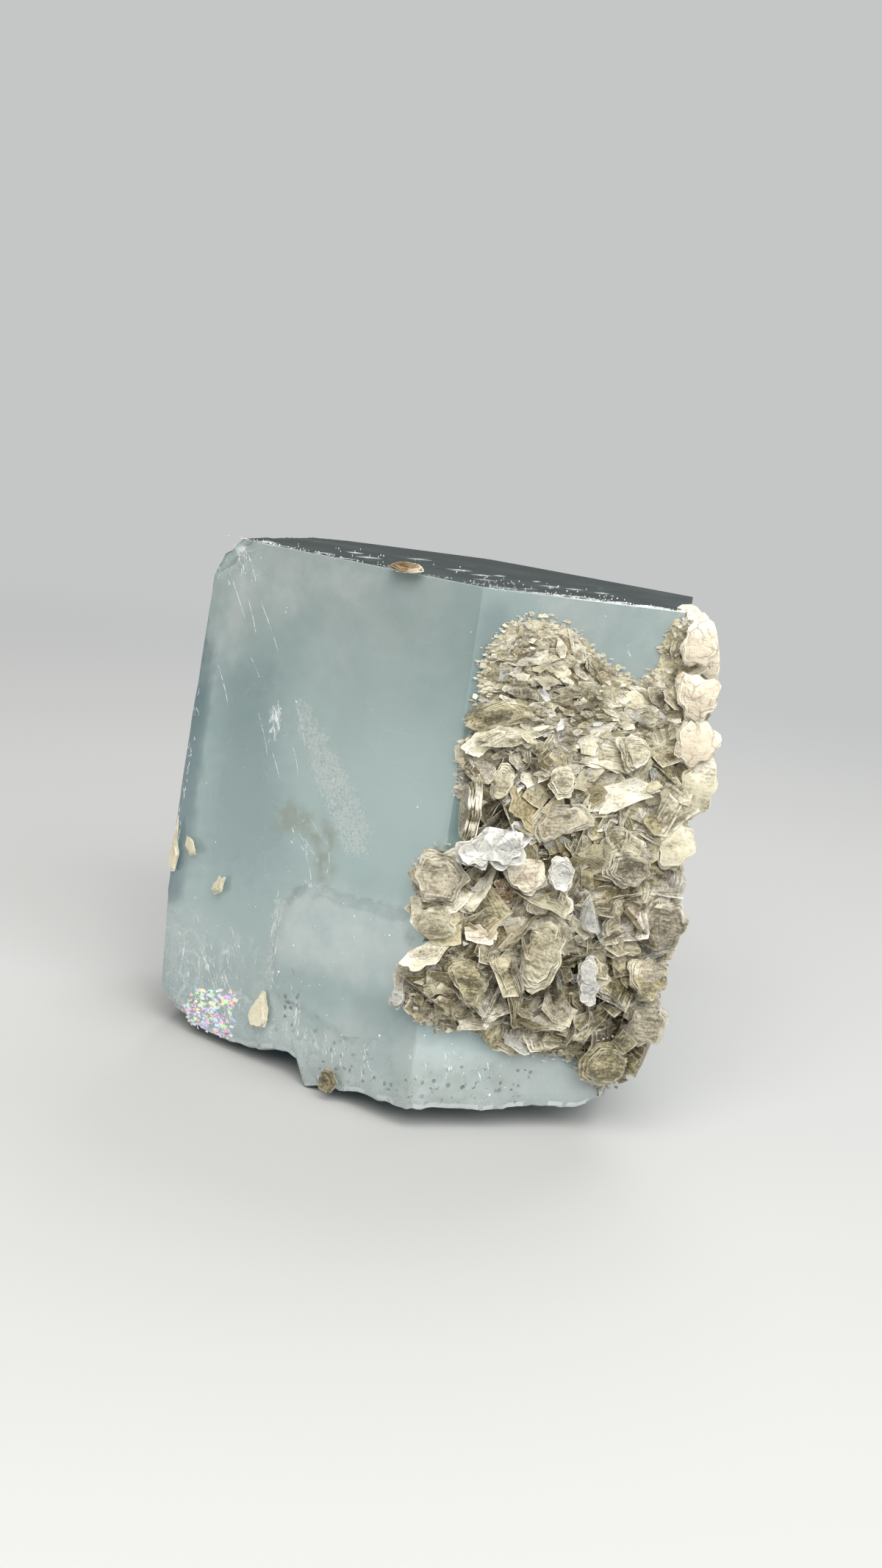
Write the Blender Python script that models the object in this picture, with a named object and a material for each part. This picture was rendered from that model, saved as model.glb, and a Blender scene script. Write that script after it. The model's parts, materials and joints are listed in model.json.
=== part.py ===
"""A hexagonal aquamarine crystal that carries a crust of muscovite mica.

The crystal is a short, thick prism with a flat top and a broken base, and it stands on the flat patch
in the middle of that base. A small bud crystal and a thin growth plate are one piece with it. Mica
covers the edge between its front-right and right faces: a matted crust of small flakes, and larger
mica books that stand in pockets of the crust. A few loose flakes sit elsewhere on the crystal.

Sizes are in millimetres and are turned into metres when a mesh is made. Heights are counted from the
lowest point of the base's rim that meets the front, and the resting patch lies a little below it.
Headings are degrees, counted from +X towards +Y. A distance along the faces is measured from the front
edge of the prism, positive to the right, and it runs on round the corners.
"""

import math
import random
from dataclasses import dataclass

import bmesh
import bpy
from mathutils import Matrix, Vector, noise
from mathutils.geometry import delaunay_2d_cdt

MM = 0.001

# The prism: its faces in order round it, from the front-left one, 60 degrees of heading apart.
TOP = 53.9
FIRST_HEADING = 232.0
FACE_DISTANCES = (22.0, 27.3, 24.0, 23.7, 25.7, 25.85)
SIDES = 6
STEP_ALONG_RIM = 2.6

# Where the prism's centre line stands, so that the whole object's box is centred on the origin.
CENTRE_X = -0.854
CENTRE_Y = -2.25

# The broken base: the height of the flat patch it rests on, and of its rim by distance along the faces.
BASE_LEVEL = -0.7
BASE_RIM = (
    (-36.0, 2.7), (-33.3, 0.9), (-28.0, 0.7), (-23.0, 0.9), (-18.2, 2.2), (-16.5, 2.3), (-13.8, 1.6),
    (-11.2, 0.6), (-9.2, 0.7), (-6.6, 1.5), (-2.3, 1.8), (3.8, 2.1), (8.7, 1.8), (13.7, 2.4),
    (18.9, 2.2), (21.6, 3.6), (27.0, 2.2),
    (33.0, 3.4), (39.0, 1.8), (46.0, 2.6), (52.8, 4.2), (60.0, 2.0), (68.0, 3.1), (76.0, 1.6),
    (82.8, 3.5), (90.0, 2.2), (99.0, 3.6), (106.0, 1.9), (110.3, 3.8), (118.0, 2.4), (126.0, 3.2),
    (132.0, 1.4), (135.6, 2.7),
)
BASE_RINGS = (0.12, 0.28, 0.44)
PATCH_SHARE = 0.58
BASE_ROUGHNESS = 0.5
BASE_LUMPS_PER_MM = 0.35
BASE_CLEARANCE = 0.08

# The left edge stands out a little in the middle of its height: (height, how far out).
LEFT_FLARE = (
    (0.0, 0.2), (3.0, 0.35), (15.0, 1.0), (24.0, 0.95), (32.0, 0.7), (40.0, 0.4), (47.0, 0.1),
    (53.9, 0.0),
)
FLARE_WIDTH = 4.0
WALL_RINGS = (6.0, 15.0, 24.0, 32.0, 40.0, 47.0)

# Chips broken off the rim: a point on the cut, the heading it faces and how far it leans up.
CHIPS = (
    ((-24.6, -6.4, 53.9), 200.0, 33.0),
    ((-22.2, 6.0, 53.9), 167.0, 48.0),
    ((-19.6, 17.2, 53.9), 140.0, 40.0),
    ((7.0, 25.6, 53.9), 60.0, 58.0),
    ((-27.0, -6.4, 2.6), 206.0, -40.0),
)
CHIP_CUTTER = 30.0

# The growth plate on the front-left face: (distance along the faces, height) round its outline.
PLATE_OUTLINE = (
    (-20.6, 12.6), (-19.3, 18.2), (-17.6, 20.0), (-12.6, 20.6), (-8.4, 20.8), (-3.4, 21.2),
    (-1.6, 17.0), (-2.0, 9.0), (-8.0, 6.2), (-19.2, 8.0),
)
PLATE_RISE = 0.35
PLATE_ROOT = 1.0

# The bud crystal: where its axis stands, its radius, its two ends and how far it leans.
BUD_ALONG = -14.1
BUD_INSET = 2.0
BUD_RADIUS = 2.7
BUD_NARROWING = 0.68
BUD_BOTTOM = -0.5
BUD_TOP = 4.6
BUD_LEAN = 20.0

# The crust of small flakes: (distance along the faces, height) round its outline.
CRUST_OUTLINE = (
    (1.5, 48.6), (3.3, 51.0), (6.6, 51.4), (9.7, 50.9), (11.5, 49.6), (14.5, 47.6), (17.5, 46.6),
    (19.4, 48.0), (19.7, 51.0), (20.4, 53.0), (23.0, 53.2), (26.5, 52.0), (29.5, 49.5), (32.5, 45.5),
    (35.5, 42.5), (36.5, 38.0), (35.0, 33.0), (36.5, 28.0), (34.5, 22.0), (31.5, 17.0), (29.5, 11.5),
    (26.0, 7.5), (23.5, 4.6), (20.8, 4.4), (19.0, 6.2), (17.3, 8.2), (13.7, 8.0), (11.7, 9.0),
    (8.9, 9.4), (5.6, 10.6), (2.0, 10.6), (-1.2, 11.9), (-2.6, 13.4), (-2.4, 15.6), (-0.6, 16.4),
    (0.6, 18.8), (-1.2, 20.6), (-2.4, 22.2), (-2.0, 24.0), (-2.8, 26.6), (-1.6, 28.2), (0.9, 28.4),
    (2.0, 29.8), (1.4, 32.4), (0.3, 35.4), (0.5, 39.0), (1.6, 40.6), (1.2, 43.0), (0.9, 45.2),
)

# How its triangles are spread: their size, how unevenly they lie, and how far they keep from the
# outline and past its ends along the prism's edges.
CRUST_SEED = 11
CRUST_CELL = 2.1
CRUST_JITTER = 0.25
CRUST_MARGIN = 0.84
FOLD_MARGIN = 1.0
JOIN_DISTANCE = 1e-4

# Its thickness: at its outline, inside it, and over which distance it grows; then its lumps, and the
# swelling over the prism's edge.
CRUST_EDGE = 0.9
CRUST_FULL = 3.1
CRUST_SLOPE = 4.0
CRUST_LUMPS = 0.8
LUMPS_PER_MM = 0.3
LUMP_LAYER = 4.0
CORNER_SWELL = 0.9
SWELL_WIDTH = 3.5

# Outward directions are blended over this distance on each side of a corner.
CORNER_BLEND = 3.0

# Clear gaps: between the mica and the crystal, and round a book in its pocket.
CRYSTAL_GAP = 0.42
POCKET_GAP = 0.32

# How uneven a book's outline is, as shares, how much it narrows to its front, and where on its
# outline a waist starts and how fast it deepens.
CORNER_DRIFT = 0.13
LONGEST_REACH = 1.04
REACH_SPREAD = 0.1
FRONT_SHARE = 0.93
WAIST_START = 0.75
WAIST_GAIN = 2.0

COLOURS = {
    "aquamarine": ((0.45, 0.58, 0.60), 0.05),
    "mica_crust": ((0.34, 0.30, 0.20), 0.45),
    "mica_silver": ((0.80, 0.80, 0.76), 0.25),
    "mica_cream": ((0.66, 0.60, 0.48), 0.35),
    "mica_pink": ((0.62, 0.53, 0.46), 0.35),
    "mica_grey": ((0.36, 0.35, 0.30), 0.30),
    "mica_olive": ((0.20, 0.18, 0.10), 0.35),
    "mica_stained": ((0.68, 0.48, 0.24), 0.45),
}


@dataclass(frozen=True)
class Book:
    """A mica book: its middle, the heading and lean of its broad face, its spin and its size."""

    name: str
    at: tuple
    heading: float
    lean: float
    spin: float
    width: float
    height: float
    thick: float
    finish: str
    corners: int = 6
    waist: float = 0.0


BOOKS = (
    Book("book_silver_twin", (5.7, -32.2, 30.0), 274, 12, 6, 6.4, 4.4, 0.7, "mica_silver", 10, 0.3),
    Book("book_white", (12.6, -30.2, 28.2), 268, 14, 10, 2.3, 3.2, 0.6, "mica_silver"),
    Book("book_pink", (9.4, -30.2, 27.4), 280, 8, -12, 4.0, 3.2, 0.9, "mica_pink"),
    Book("book_cream_under", (10.9, -29.0, 24.9), 286, -12, 0, 4.0, 2.3, 0.8, "mica_cream"),
    Book("book_cream_curved", (12.0, -28.6, 19.6), 243, 4, -6, 3.9, 7.6, 0.9, "mica_cream", 8),
    Book("book_grey_left", (1.1, -31.3, 26.2), 264, 4, 8, 4.8, 4.8, 1.5, "mica_grey"),
    Book("book_tan_left", (1.7, -30.9, 21.6), 268, -10, 20, 4.9, 3.4, 1.3, "mica_cream"),
    Book("book_olive_left", (4.8, -30.7, 15.9), 272, 6, 10, 4.8, 5.2, 1.7, "mica_olive"),
    Book("book_thin_edge", (-1.2, -29.3, 14.0), 238, 24, 10, 2.2, 3.5, 0.5, "mica_silver", 5),
    Book("book_silver_low", (17.1, -27.5, 17.3), 276, 4, -4, 2.1, 4.9, 0.6, "mica_silver", 8),
    Book("book_grey_large", (12.0, -28.4, 32.2), 285, 6, 14, 6.6, 4.8, 0.8, "mica_grey", 7),
    Book("book_grey_right", (19.4, -25.2, 28.6), 292, 4, -8, 5.2, 3.8, 0.8, "mica_grey", 7),
    Book("book_wedge_grey", (16.0, -27.2, 24.0), 254, 0, 24, 2.3, 4.6, 0.6, "mica_silver", 5),
    Book("book_wedge_olive", (19.0, -26.0, 23.6), 306, 0, -30, 2.2, 4.2, 0.6, "mica_cream", 5),
    Book("book_cream_mid", (11.4, -29.3, 36.6), 270, 12, 18, 2.3, 3.1, 0.7, "mica_cream"),
    Book("book_upright_left", (3.0, -30.9, 33.2), 196, 0, 3, 3.2, 6.2, 1.3, "mica_cream", 8),
    Book("book_oval_left", (5.7, -30.4, 36.2), 268, 6, -6, 1.8, 3.3, 0.7, "mica_cream", 8),
    Book("book_cream_right", (17.3, -26.6, 40.2), 288, 10, 12, 4.7, 3.2, 0.8, "mica_cream", 7),
    Book("fin_top", (22.9, -22.9, 51.2), 268, 4, -8, 3.2, 4.2, 1.1, "mica_pink", 8),
    Book("fin_upper", (23.5, -23.9, 46.6), 270, -2, 10, 4.2, 5.2, 1.2, "mica_pink", 8),
    Book("fin_middle", (24.1, -23.5, 41.6), 268, 0, 0, 3.9, 3.6, 1.1, "mica_pink", 8),
    Book("fin_lower_middle", (25.2, -22.6, 37.2), 276, 0, 8, 3.2, 4.6, 1.1, "mica_cream", 8),
    Book("fin_bead", (23.8, -23.2, 31.2), 270, 6, 0, 3.4, 3.8, 1.3, "mica_cream", 8),
    Book("fin_olive", (24.3, -23.0, 22.6), 274, -4, 0, 3.6, 4.8, 1.1, "mica_grey", 8),
    Book("fin_brown", (23.4, -24.8, 17.6), 282, 16, -20, 3.9, 3.0, 0.9, "mica_olive", 6),
    Book("fin_low", (23.9, -23.1, 12.9), 270, 0, 12, 3.6, 5.2, 1.1, "mica_grey", 7),
    Book("book_low_right", (20.4, -24.0, 7.8), 284, -8, 20, 4.6, 4.6, 1.0, "mica_olive", 7),
    Book("flake_left_edge", (-27.75, -8.1, 20.0), 230, 0, 3, 1.4, 6.4, 0.5, "mica_cream", 5),
    Book("flake_left_side", (-25.95, -9.25, 20.4), 226, 8, 50, 1.2, 2.4, 0.35, "mica_cream", 5),
    Book("flake_left_low", (-21.8, -11.9, 17.2), 228, 10, -40, 1.0, 2.6, 0.35, "mica_cream", 5),
    Book("book_low_left", (-15.5, -16.9, 6.0), 236, 8, 10, 3.3, 3.8, 0.7, "mica_cream", 6),
    Book("flake_brown_base", (-7.0, -23.6, 1.7), 236, -8, 0, 2.1, 2.5, 0.5, "mica_olive", 6),
    Book("flake_rim", (-6.4, -23.9, 54.4), 232, 62, 0, 4.2, 1.5, 0.4, "mica_stained", 7),
)


def heading_vector(degrees):
    """Unit vector in the plane that points along a heading."""
    angle = math.radians(degrees)
    return Vector((math.cos(angle), math.sin(angle), 0.0))


def face_normal(face):
    """Outward normal of a face of the prism."""
    return heading_vector(FIRST_HEADING + 360.0 / SIDES * (face % SIDES))


def corner_point(face):
    """The corner of the outline between a face and the next one round."""
    first, second = face_normal(face), face_normal(face + 1)
    reach, next_reach = FACE_DISTANCES[face % SIDES], FACE_DISTANCES[(face + 1) % SIDES]
    scale = first.x * second.y - first.y * second.x
    x = (reach * second.y - next_reach * first.y) / scale
    y = (first.x * next_reach - second.x * reach) / scale
    return Vector((x, y, 0.0))


def face_starts():
    """Distance along the faces at which each one starts, and where the last one ends."""
    starts = [-(corner_point(0) - corner_point(SIDES - 1)).length]
    for face in range(SIDES):
        starts.append(starts[-1] + (corner_point(face) - corner_point(face - 1)).length)
    return starts


STARTS = face_starts()


def wall_frame(along):
    """Point at the foot of a wall and the outward direction there, blended round the corners."""
    face = max(index for index in range(SIDES) if along >= STARTS[index] or index == 0)
    offset = along - STARTS[face]
    length = STARTS[face + 1] - STARTS[face]
    run = (corner_point(face) - corner_point(face - 1)).normalized()
    point = corner_point(face - 1) + run * offset
    outward = face_normal(face)
    near_start = max(0.0, 1.0 - offset / CORNER_BLEND) / 2
    near_end = max(0.0, 1.0 - (length - offset) / CORNER_BLEND) / 2
    outward = outward.lerp(face_normal(face - 1), near_start).lerp(face_normal(face + 1), near_end)
    return point, outward.normalized()


def wall_point(along, height, out):
    """Point by distance along the faces, height, and distance out from the wall."""
    point, outward = wall_frame(along)
    return point + outward * out + Vector((0.0, 0.0, height))


def read_between(table, place):
    """Value at a place, read between the (place, value) pairs of a table."""
    for (start, low), (end, high) in zip(table, table[1:]):
        if place <= end:
            return low + (high - low) * (place - start) / (end - start)
    return table[-1][1]


def left_flare(along, height):
    """How far the wall stands out near the left edge."""
    away = min(along - STARTS[0], STARTS[SIDES] - along)
    return read_between(LEFT_FLARE, height) * math.exp(-((away / FLARE_WIDTH) ** 2))


def finish(name):
    """The material of a piece, made the first time it is asked for."""
    material = bpy.data.materials.get(name)
    if material is None:
        colour, roughness = COLOURS[name]
        material = bpy.data.materials.new(name)
        material.use_nodes = True
        shader = material.node_tree.nodes["Principled BSDF"]
        shader.inputs["Base Color"].default_value = (*colour, 1.0)
        shader.inputs["Roughness"].default_value = roughness
        shader.inputs["Metallic"].default_value = 0.0
    return material


def add_object(name, shape, specimen, colour=None):
    """Turn a bmesh in millimetres into a named object under the specimen's empty."""
    bmesh.ops.recalc_face_normals(shape, faces=shape.faces[:])
    bmesh.ops.scale(shape, vec=(MM, MM, MM), verts=shape.verts[:])
    mesh = bpy.data.meshes.new(name)
    shape.to_mesh(mesh)
    shape.free()
    piece = bpy.data.objects.new(name, mesh)
    bpy.context.collection.objects.link(piece)
    piece.parent = specimen
    if colour is None:
        piece.hide_render = True
        piece.display_type = "WIRE"
    else:
        mesh.materials.append(finish(colour))
    return piece


def cut(piece, tool, operation="DIFFERENCE"):
    """Add an exact Boolean with another object to a piece."""
    modifier = piece.modifiers.new(tool.name, "BOOLEAN")
    modifier.operation = operation
    modifier.solver = "EXACT"
    modifier.object = tool


def ring(shape, points):
    """Add a ring of vertices."""
    return [shape.verts.new(point) for point in points]


def bridge(shape, lower, upper):
    """Fill the band between two rings of the same length."""
    count = len(lower)
    for index in range(count):
        after = (index + 1) % count
        shape.faces.new((lower[index], lower[after], upper[after], upper[index]))


def rim_stations():
    """Distances along the faces of the points round the rim, with one on every corner."""
    stations = []
    for start, end in zip(STARTS, STARTS[1:]):
        count = max(2, round((end - start) / STEP_ALONG_RIM))
        stations.extend(start + (end - start) * index / count for index in range(count))
    return stations


def prism_body():
    """The hexagonal prism from its flat top to its broken base."""
    shape = bmesh.new()
    stations = rim_stations()
    rims = [read_between(BASE_RIM, along) for along in stations]
    feet = [wall_point(along, 0.0, left_flare(along, rim)) for along, rim in zip(stations, rims)]
    edge = ring(shape, [foot + Vector((0.0, 0.0, rim)) for foot, rim in zip(feet, rims)])
    below = edge
    for height in (*WALL_RINGS, TOP):
        above = ring(
            shape, [wall_point(along, height, left_flare(along, height)) for along in stations],
        )
        bridge(shape, below, above)
        below = above
    shape.faces.new(below)
    outer = edge
    for share in BASE_RINGS:
        points = []
        for foot, rim in zip(feet, rims):
            fade = max(0.0, 1.0 - share / (1.0 - PATCH_SHARE))
            spot = foot * (1.0 - share)
            lump = BASE_ROUGHNESS * noise.noise(spot * BASE_LUMPS_PER_MM)
            rise = max(BASE_CLEARANCE, (rim - BASE_LEVEL + lump) * fade) if fade else 0.0
            points.append(Vector((spot.x, spot.y, BASE_LEVEL + rise)))
        inner = ring(shape, points)
        bridge(shape, inner, outer)
        outer = inner
    shape.faces.new(outer)
    return shape


def chip_cutter(spot, heading, lean):
    """A block whose near side lies on the plane of a chip."""
    shape = bmesh.new()
    half = CHIP_CUTTER / 2
    bmesh.ops.create_cube(shape, size=CHIP_CUTTER)
    bmesh.ops.translate(shape, vec=(half, 0.0, 0.0), verts=shape.verts[:])
    turn = Matrix.Rotation(math.radians(heading), 4, "Z") @ Matrix.Rotation(-math.radians(lean), 4, "Y")
    bmesh.ops.transform(shape, matrix=Matrix.Translation(spot) @ turn, verts=shape.verts[:])
    return shape


def growth_plate():
    """A thin plate that stands a little proud of the front-left face and is rooted in it."""
    shape = bmesh.new()
    root = ring(shape, [wall_point(along, height, -PLATE_ROOT) for along, height in PLATE_OUTLINE])
    face = ring(shape, [wall_point(along, height, PLATE_RISE) for along, height in PLATE_OUTLINE])
    bridge(shape, root, face)
    shape.faces.new(root)
    shape.faces.new(face)
    return shape


def bud_crystal():
    """A small hexagonal prism that leans out under the front-left face and narrows downwards."""
    shape = bmesh.new()
    bmesh.ops.create_cone(
        shape, cap_ends=True, segments=SIDES, radius1=BUD_RADIUS * BUD_NARROWING,
        radius2=BUD_RADIUS, depth=BUD_TOP - BUD_BOTTOM,
    )
    lean = Matrix.Rotation(math.radians(BUD_LEAN), 4, face_normal(0))
    middle = wall_point(BUD_ALONG, (BUD_TOP + BUD_BOTTOM) / 2, -BUD_INSET)
    bmesh.ops.transform(shape, matrix=Matrix.Translation(middle) @ lean, verts=shape.verts[:])
    for vertex in shape.verts:
        vertex.co.z = max(vertex.co.z, BUD_BOTTOM)
    return shape


def build_crystal(specimen):
    """The crystal with its bud and growth plate joined on and its chips cut off."""
    crystal = add_object("aquamarine_crystal", prism_body(), specimen, "aquamarine")
    cut(crystal, add_object("growth_plate", growth_plate(), specimen), "UNION")
    cut(crystal, add_object("bud_crystal", bud_crystal(), specimen), "UNION")
    for number, (spot, heading, lean) in enumerate(CHIPS):
        cut(crystal, add_object(f"chip_{number}", chip_cutter(spot, heading, lean), specimen))


def distance_to_outline(along, height):
    """Distance from a spot in the crust to the nearest part of its outline."""
    spot = Vector((along, height))
    nearest = math.inf
    for start, end in zip(CRUST_OUTLINE, CRUST_OUTLINE[1:] + CRUST_OUTLINE[:1]):
        start, end = Vector(start), Vector(end)
        run = end - start
        share = min(1.0, max(0.0, (spot - start).dot(run) / run.length_squared))
        nearest = min(nearest, (spot - start - run * share).length)
    return nearest


def crust_depth(along, height):
    """Thickness of the crust: thin at its outline, lumpy inside, thickest at the prism's edge."""
    rise = min(1.0, distance_to_outline(along, height) / CRUST_SLOPE)
    rise = rise * rise * (3.0 - 2.0 * rise)
    spot = Vector((along * LUMPS_PER_MM, height * LUMPS_PER_MM, LUMP_LAYER))
    full = CRUST_FULL + CRUST_LUMPS * noise.noise(spot)
    full += CORNER_SWELL * math.exp(-(((along - STARTS[2]) / SWELL_WIDTH) ** 2))
    return CRUST_EDGE + (full - CRUST_EDGE) * rise


def crust_lattice():
    """Points inside the crust's box on a jittered triangular lattice."""
    dice = random.Random(CRUST_SEED)
    left = min(along for along, _ in CRUST_OUTLINE)
    right = max(along for along, _ in CRUST_OUTLINE)
    low = min(height for _, height in CRUST_OUTLINE)
    high = max(height for _, height in CRUST_OUTLINE)
    points = []
    row_step = CRUST_CELL * math.sqrt(3.0) / 2
    for row in range(1, int((high - low) / row_step) + 1):
        for column in range(int((right - left) / CRUST_CELL) + 1):
            along = left + (column + 0.5 * (row % 2)) * CRUST_CELL + dice.uniform(-CRUST_JITTER, CRUST_JITTER)
            height = low + row * row_step + dice.uniform(-CRUST_JITTER, CRUST_JITTER)
            near_fold = min(abs(along - STARTS[1]), abs(along - STARTS[2])) < CRUST_CELL / 2
            if not near_fold:
                points.append((along, height))
    return points


def crust_folds():
    """Rows of points along the two edges of the prism that the crust wraps."""
    low = min(height for _, height in CRUST_OUTLINE) - FOLD_MARGIN
    high = max(height for _, height in CRUST_OUTLINE) + FOLD_MARGIN
    count = round((high - low) / CRUST_CELL)
    heights = [low + (high - low) * index / count for index in range(count + 1)]
    return [[(fold, height) for height in heights] for fold in (STARTS[1], STARTS[2])]


def crust_triangles():
    """The crust's outline filled with triangles, with edges along the prism's own edges."""
    count = len(CRUST_OUTLINE)
    points = list(CRUST_OUTLINE)
    edges = [(index, (index + 1) % count) for index in range(count)]
    for fold in crust_folds():
        first = len(points)
        points.extend(fold)
        edges.extend((index, index + 1) for index in range(first, len(points) - 1))
    for along, height in crust_lattice():
        if distance_to_outline(along, height) > CRUST_MARGIN:
            points.append((along, height))
    flat, _, faces, *_ = delaunay_2d_cdt([Vector(point) for point in points], edges, [], 1, JOIN_DISTANCE)
    return flat, faces


def crust_body():
    """The crust as a closed sheet over the walls, its back close to them."""
    flat, faces = crust_triangles()
    shape = bmesh.new()
    used = sorted({index for face in faces for index in face})
    back = {}
    front = {}
    for index in used:
        along, height = flat[index]
        back[index] = shape.verts.new(wall_point(along, height, CRYSTAL_GAP))
        depth = crust_depth(along, height)
        front[index] = shape.verts.new(wall_point(along, height, CRYSTAL_GAP + depth))
    for face in faces:
        shape.faces.new([front[index] for index in face])
        shape.faces.new([back[index] for index in reversed(face)])
    walls = [edge for edge in shape.edges if edge.is_boundary and edge.verts[0] in back.values()]
    partner = {back[index]: front[index] for index in used}
    for edge in walls:
        start, end = edge.verts
        shape.faces.new((start, end, partner[end], partner[start]))
    return shape


def book_outline(book, grow=0.0):
    """Outline of a book: an uneven polygon of its width and height, grown by a margin."""
    dice = random.Random(book.name)
    points = []
    for index in range(book.corners):
        angle = math.tau * (index + dice.uniform(-CORNER_DRIFT, CORNER_DRIFT)) / book.corners
        reach = LONGEST_REACH - dice.uniform(0.0, REACH_SPREAD)
        reach -= book.waist * max(0.0, abs(math.sin(angle)) - WAIST_START) * WAIST_GAIN
        across = math.cos(angle) * (book.width / 2 * reach + grow)
        up = math.sin(angle) * (book.height / 2 * reach + grow)
        points.append((across, up))
    return points


def book_plate(book, grow=0.0):
    """A book as a thick plate that narrows a little towards its front."""
    shape = bmesh.new()
    half = book.thick / 2 + grow
    outline = book_outline(book, grow)
    back = ring(shape, [(x, y, -half) for x, y in outline])
    front = ring(shape, [(x * FRONT_SHARE, y * FRONT_SHARE, half) for x, y in outline])
    bridge(shape, back, front)
    shape.faces.new(back)
    shape.faces.new(front)
    return shape


def place_book(piece, book):
    """Set a book's place, with its broad face turned to its heading."""
    outward = heading_vector(book.heading)
    across = Vector((0.0, 0.0, 1.0)).cross(outward)
    upright = Matrix((across, (0.0, 0.0, 1.0), outward)).transposed()
    lean = Matrix.Rotation(-math.radians(book.lean), 3, "X")
    spin = Matrix.Rotation(math.radians(book.spin), 3, "Z")
    piece.location = Vector(book.at) * MM
    piece.rotation_euler = (upright @ lean @ spin).to_euler()


def build_mica(specimen):
    """The crust with its pockets, and every book and loose flake."""
    crust = add_object("mica_crust", crust_body(), specimen, "mica_crust")
    for book in BOOKS:
        place_book(add_object(book.name, book_plate(book), specimen, book.finish), book)
        if not book.name.startswith("flake"):
            pocket = add_object(f"pocket_{book.name}", book_plate(book, POCKET_GAP), specimen)
            place_book(pocket, book)
            cut(crust, pocket)


def main():
    """Clear the scene and build the specimen."""
    for old in list(bpy.data.objects):
        bpy.data.objects.remove(old, do_unlink=True)
    specimen = bpy.data.objects.new("specimen", None)
    bpy.context.collection.objects.link(specimen)
    specimen.location = (-CENTRE_X * MM, -CENTRE_Y * MM, -BASE_LEVEL * MM)
    build_crystal(specimen)
    build_mica(specimen)


main()
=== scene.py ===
"""Looks of an aquamarine crystal that carries a crust of muscovite mica.

The crystal is a thick hexagonal prism with a flat top, faint growth terraces and a broken base. Veils,
films and needles are sealed in it. Mica wraps the edge between its front-right and right faces: layered
books, and between them a crust of small flakes in fans.

Lengths are in millimetres until a mesh is made. Walls are addressed by the distance along the faces from
the front edge, positive to the right, by height, and by the distance out from the wall.
"""

import json
import logging
import math
import random
from dataclasses import dataclass, field
from enum import Enum
from typing import Callable, Iterable, Sequence

import bmesh
import bpy
import numpy as np
from mathutils import Matrix, Vector, noise
from mathutils.geometry import delaunay_2d_cdt


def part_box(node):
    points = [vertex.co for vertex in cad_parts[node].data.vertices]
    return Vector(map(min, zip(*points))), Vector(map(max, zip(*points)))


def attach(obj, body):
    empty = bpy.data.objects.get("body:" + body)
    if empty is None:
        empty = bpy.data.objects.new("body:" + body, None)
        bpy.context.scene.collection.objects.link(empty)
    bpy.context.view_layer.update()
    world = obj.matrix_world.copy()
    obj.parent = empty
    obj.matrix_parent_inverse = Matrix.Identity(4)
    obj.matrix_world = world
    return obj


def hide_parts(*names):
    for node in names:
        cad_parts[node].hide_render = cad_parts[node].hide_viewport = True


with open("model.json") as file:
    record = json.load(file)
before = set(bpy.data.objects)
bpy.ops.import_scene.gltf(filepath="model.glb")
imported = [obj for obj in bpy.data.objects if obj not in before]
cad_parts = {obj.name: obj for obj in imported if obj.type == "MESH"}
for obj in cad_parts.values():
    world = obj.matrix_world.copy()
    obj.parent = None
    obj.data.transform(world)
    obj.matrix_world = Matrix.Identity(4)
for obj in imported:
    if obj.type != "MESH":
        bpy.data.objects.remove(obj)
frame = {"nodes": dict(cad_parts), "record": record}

logging.basicConfig(level=logging.INFO, format="%(name)s: %(message)s")
LOG = logging.getLogger("aquamarine")

MM = 0.001
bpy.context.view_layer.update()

Pair = tuple[float, float]
Colour = tuple[float, float, float]
Outline = Sequence[Pair]


def smooth(share: float) -> float:
    """Ease a share between 0 and 1, clamped."""
    share = min(1.0, max(0.0, share))
    return share * share * (3.0 - 2.0 * share)


def read_between(table: Sequence[Pair], place: float) -> float:
    """Read a value between the pairs of a table.

    Args:
        table: (place, value) pairs in rising order of place.
        place: Where to read it.

    Returns:
        The value there, or the last one beyond the end.
    """
    for (start, low), (end, high) in zip(table, table[1:]):
        if place <= end:
            return low + (high - low) * (place - start) / (end - start)
    return table[-1][1]


def between(start: Pair, end: Pair, share: float) -> Pair:
    """The spot at a share of the way from one to another."""
    return start[0] + (end[0] - start[0]) * share, start[1] + (end[1] - start[1]) * share


def sides_of(outline: Sequence) -> Iterable:
    """Each point of a closed outline with the next one round."""
    return zip(outline, (*outline[1:], outline[0]))


def unit_way(heading: float, rise: float = 0.0) -> Vector:
    """Unit direction with a heading, from +X towards +Y, and an angle above level, in degrees."""
    turn, up = math.radians(heading), math.radians(rise)
    return Vector((math.cos(turn) * math.cos(up), math.sin(turn) * math.cos(up), math.sin(up)))


def add_object(name: str, data: bpy.types.ID) -> bpy.types.Object:
    """Make an object of some data and put it in the scene."""
    made = bpy.data.objects.new(name, data)
    bpy.context.scene.collection.objects.link(made)
    return made


def raise_value(column: list[float], index: int, value: float) -> None:
    """Raise one point's value to at least a new one."""
    column[index] = max(column[index], value)


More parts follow.
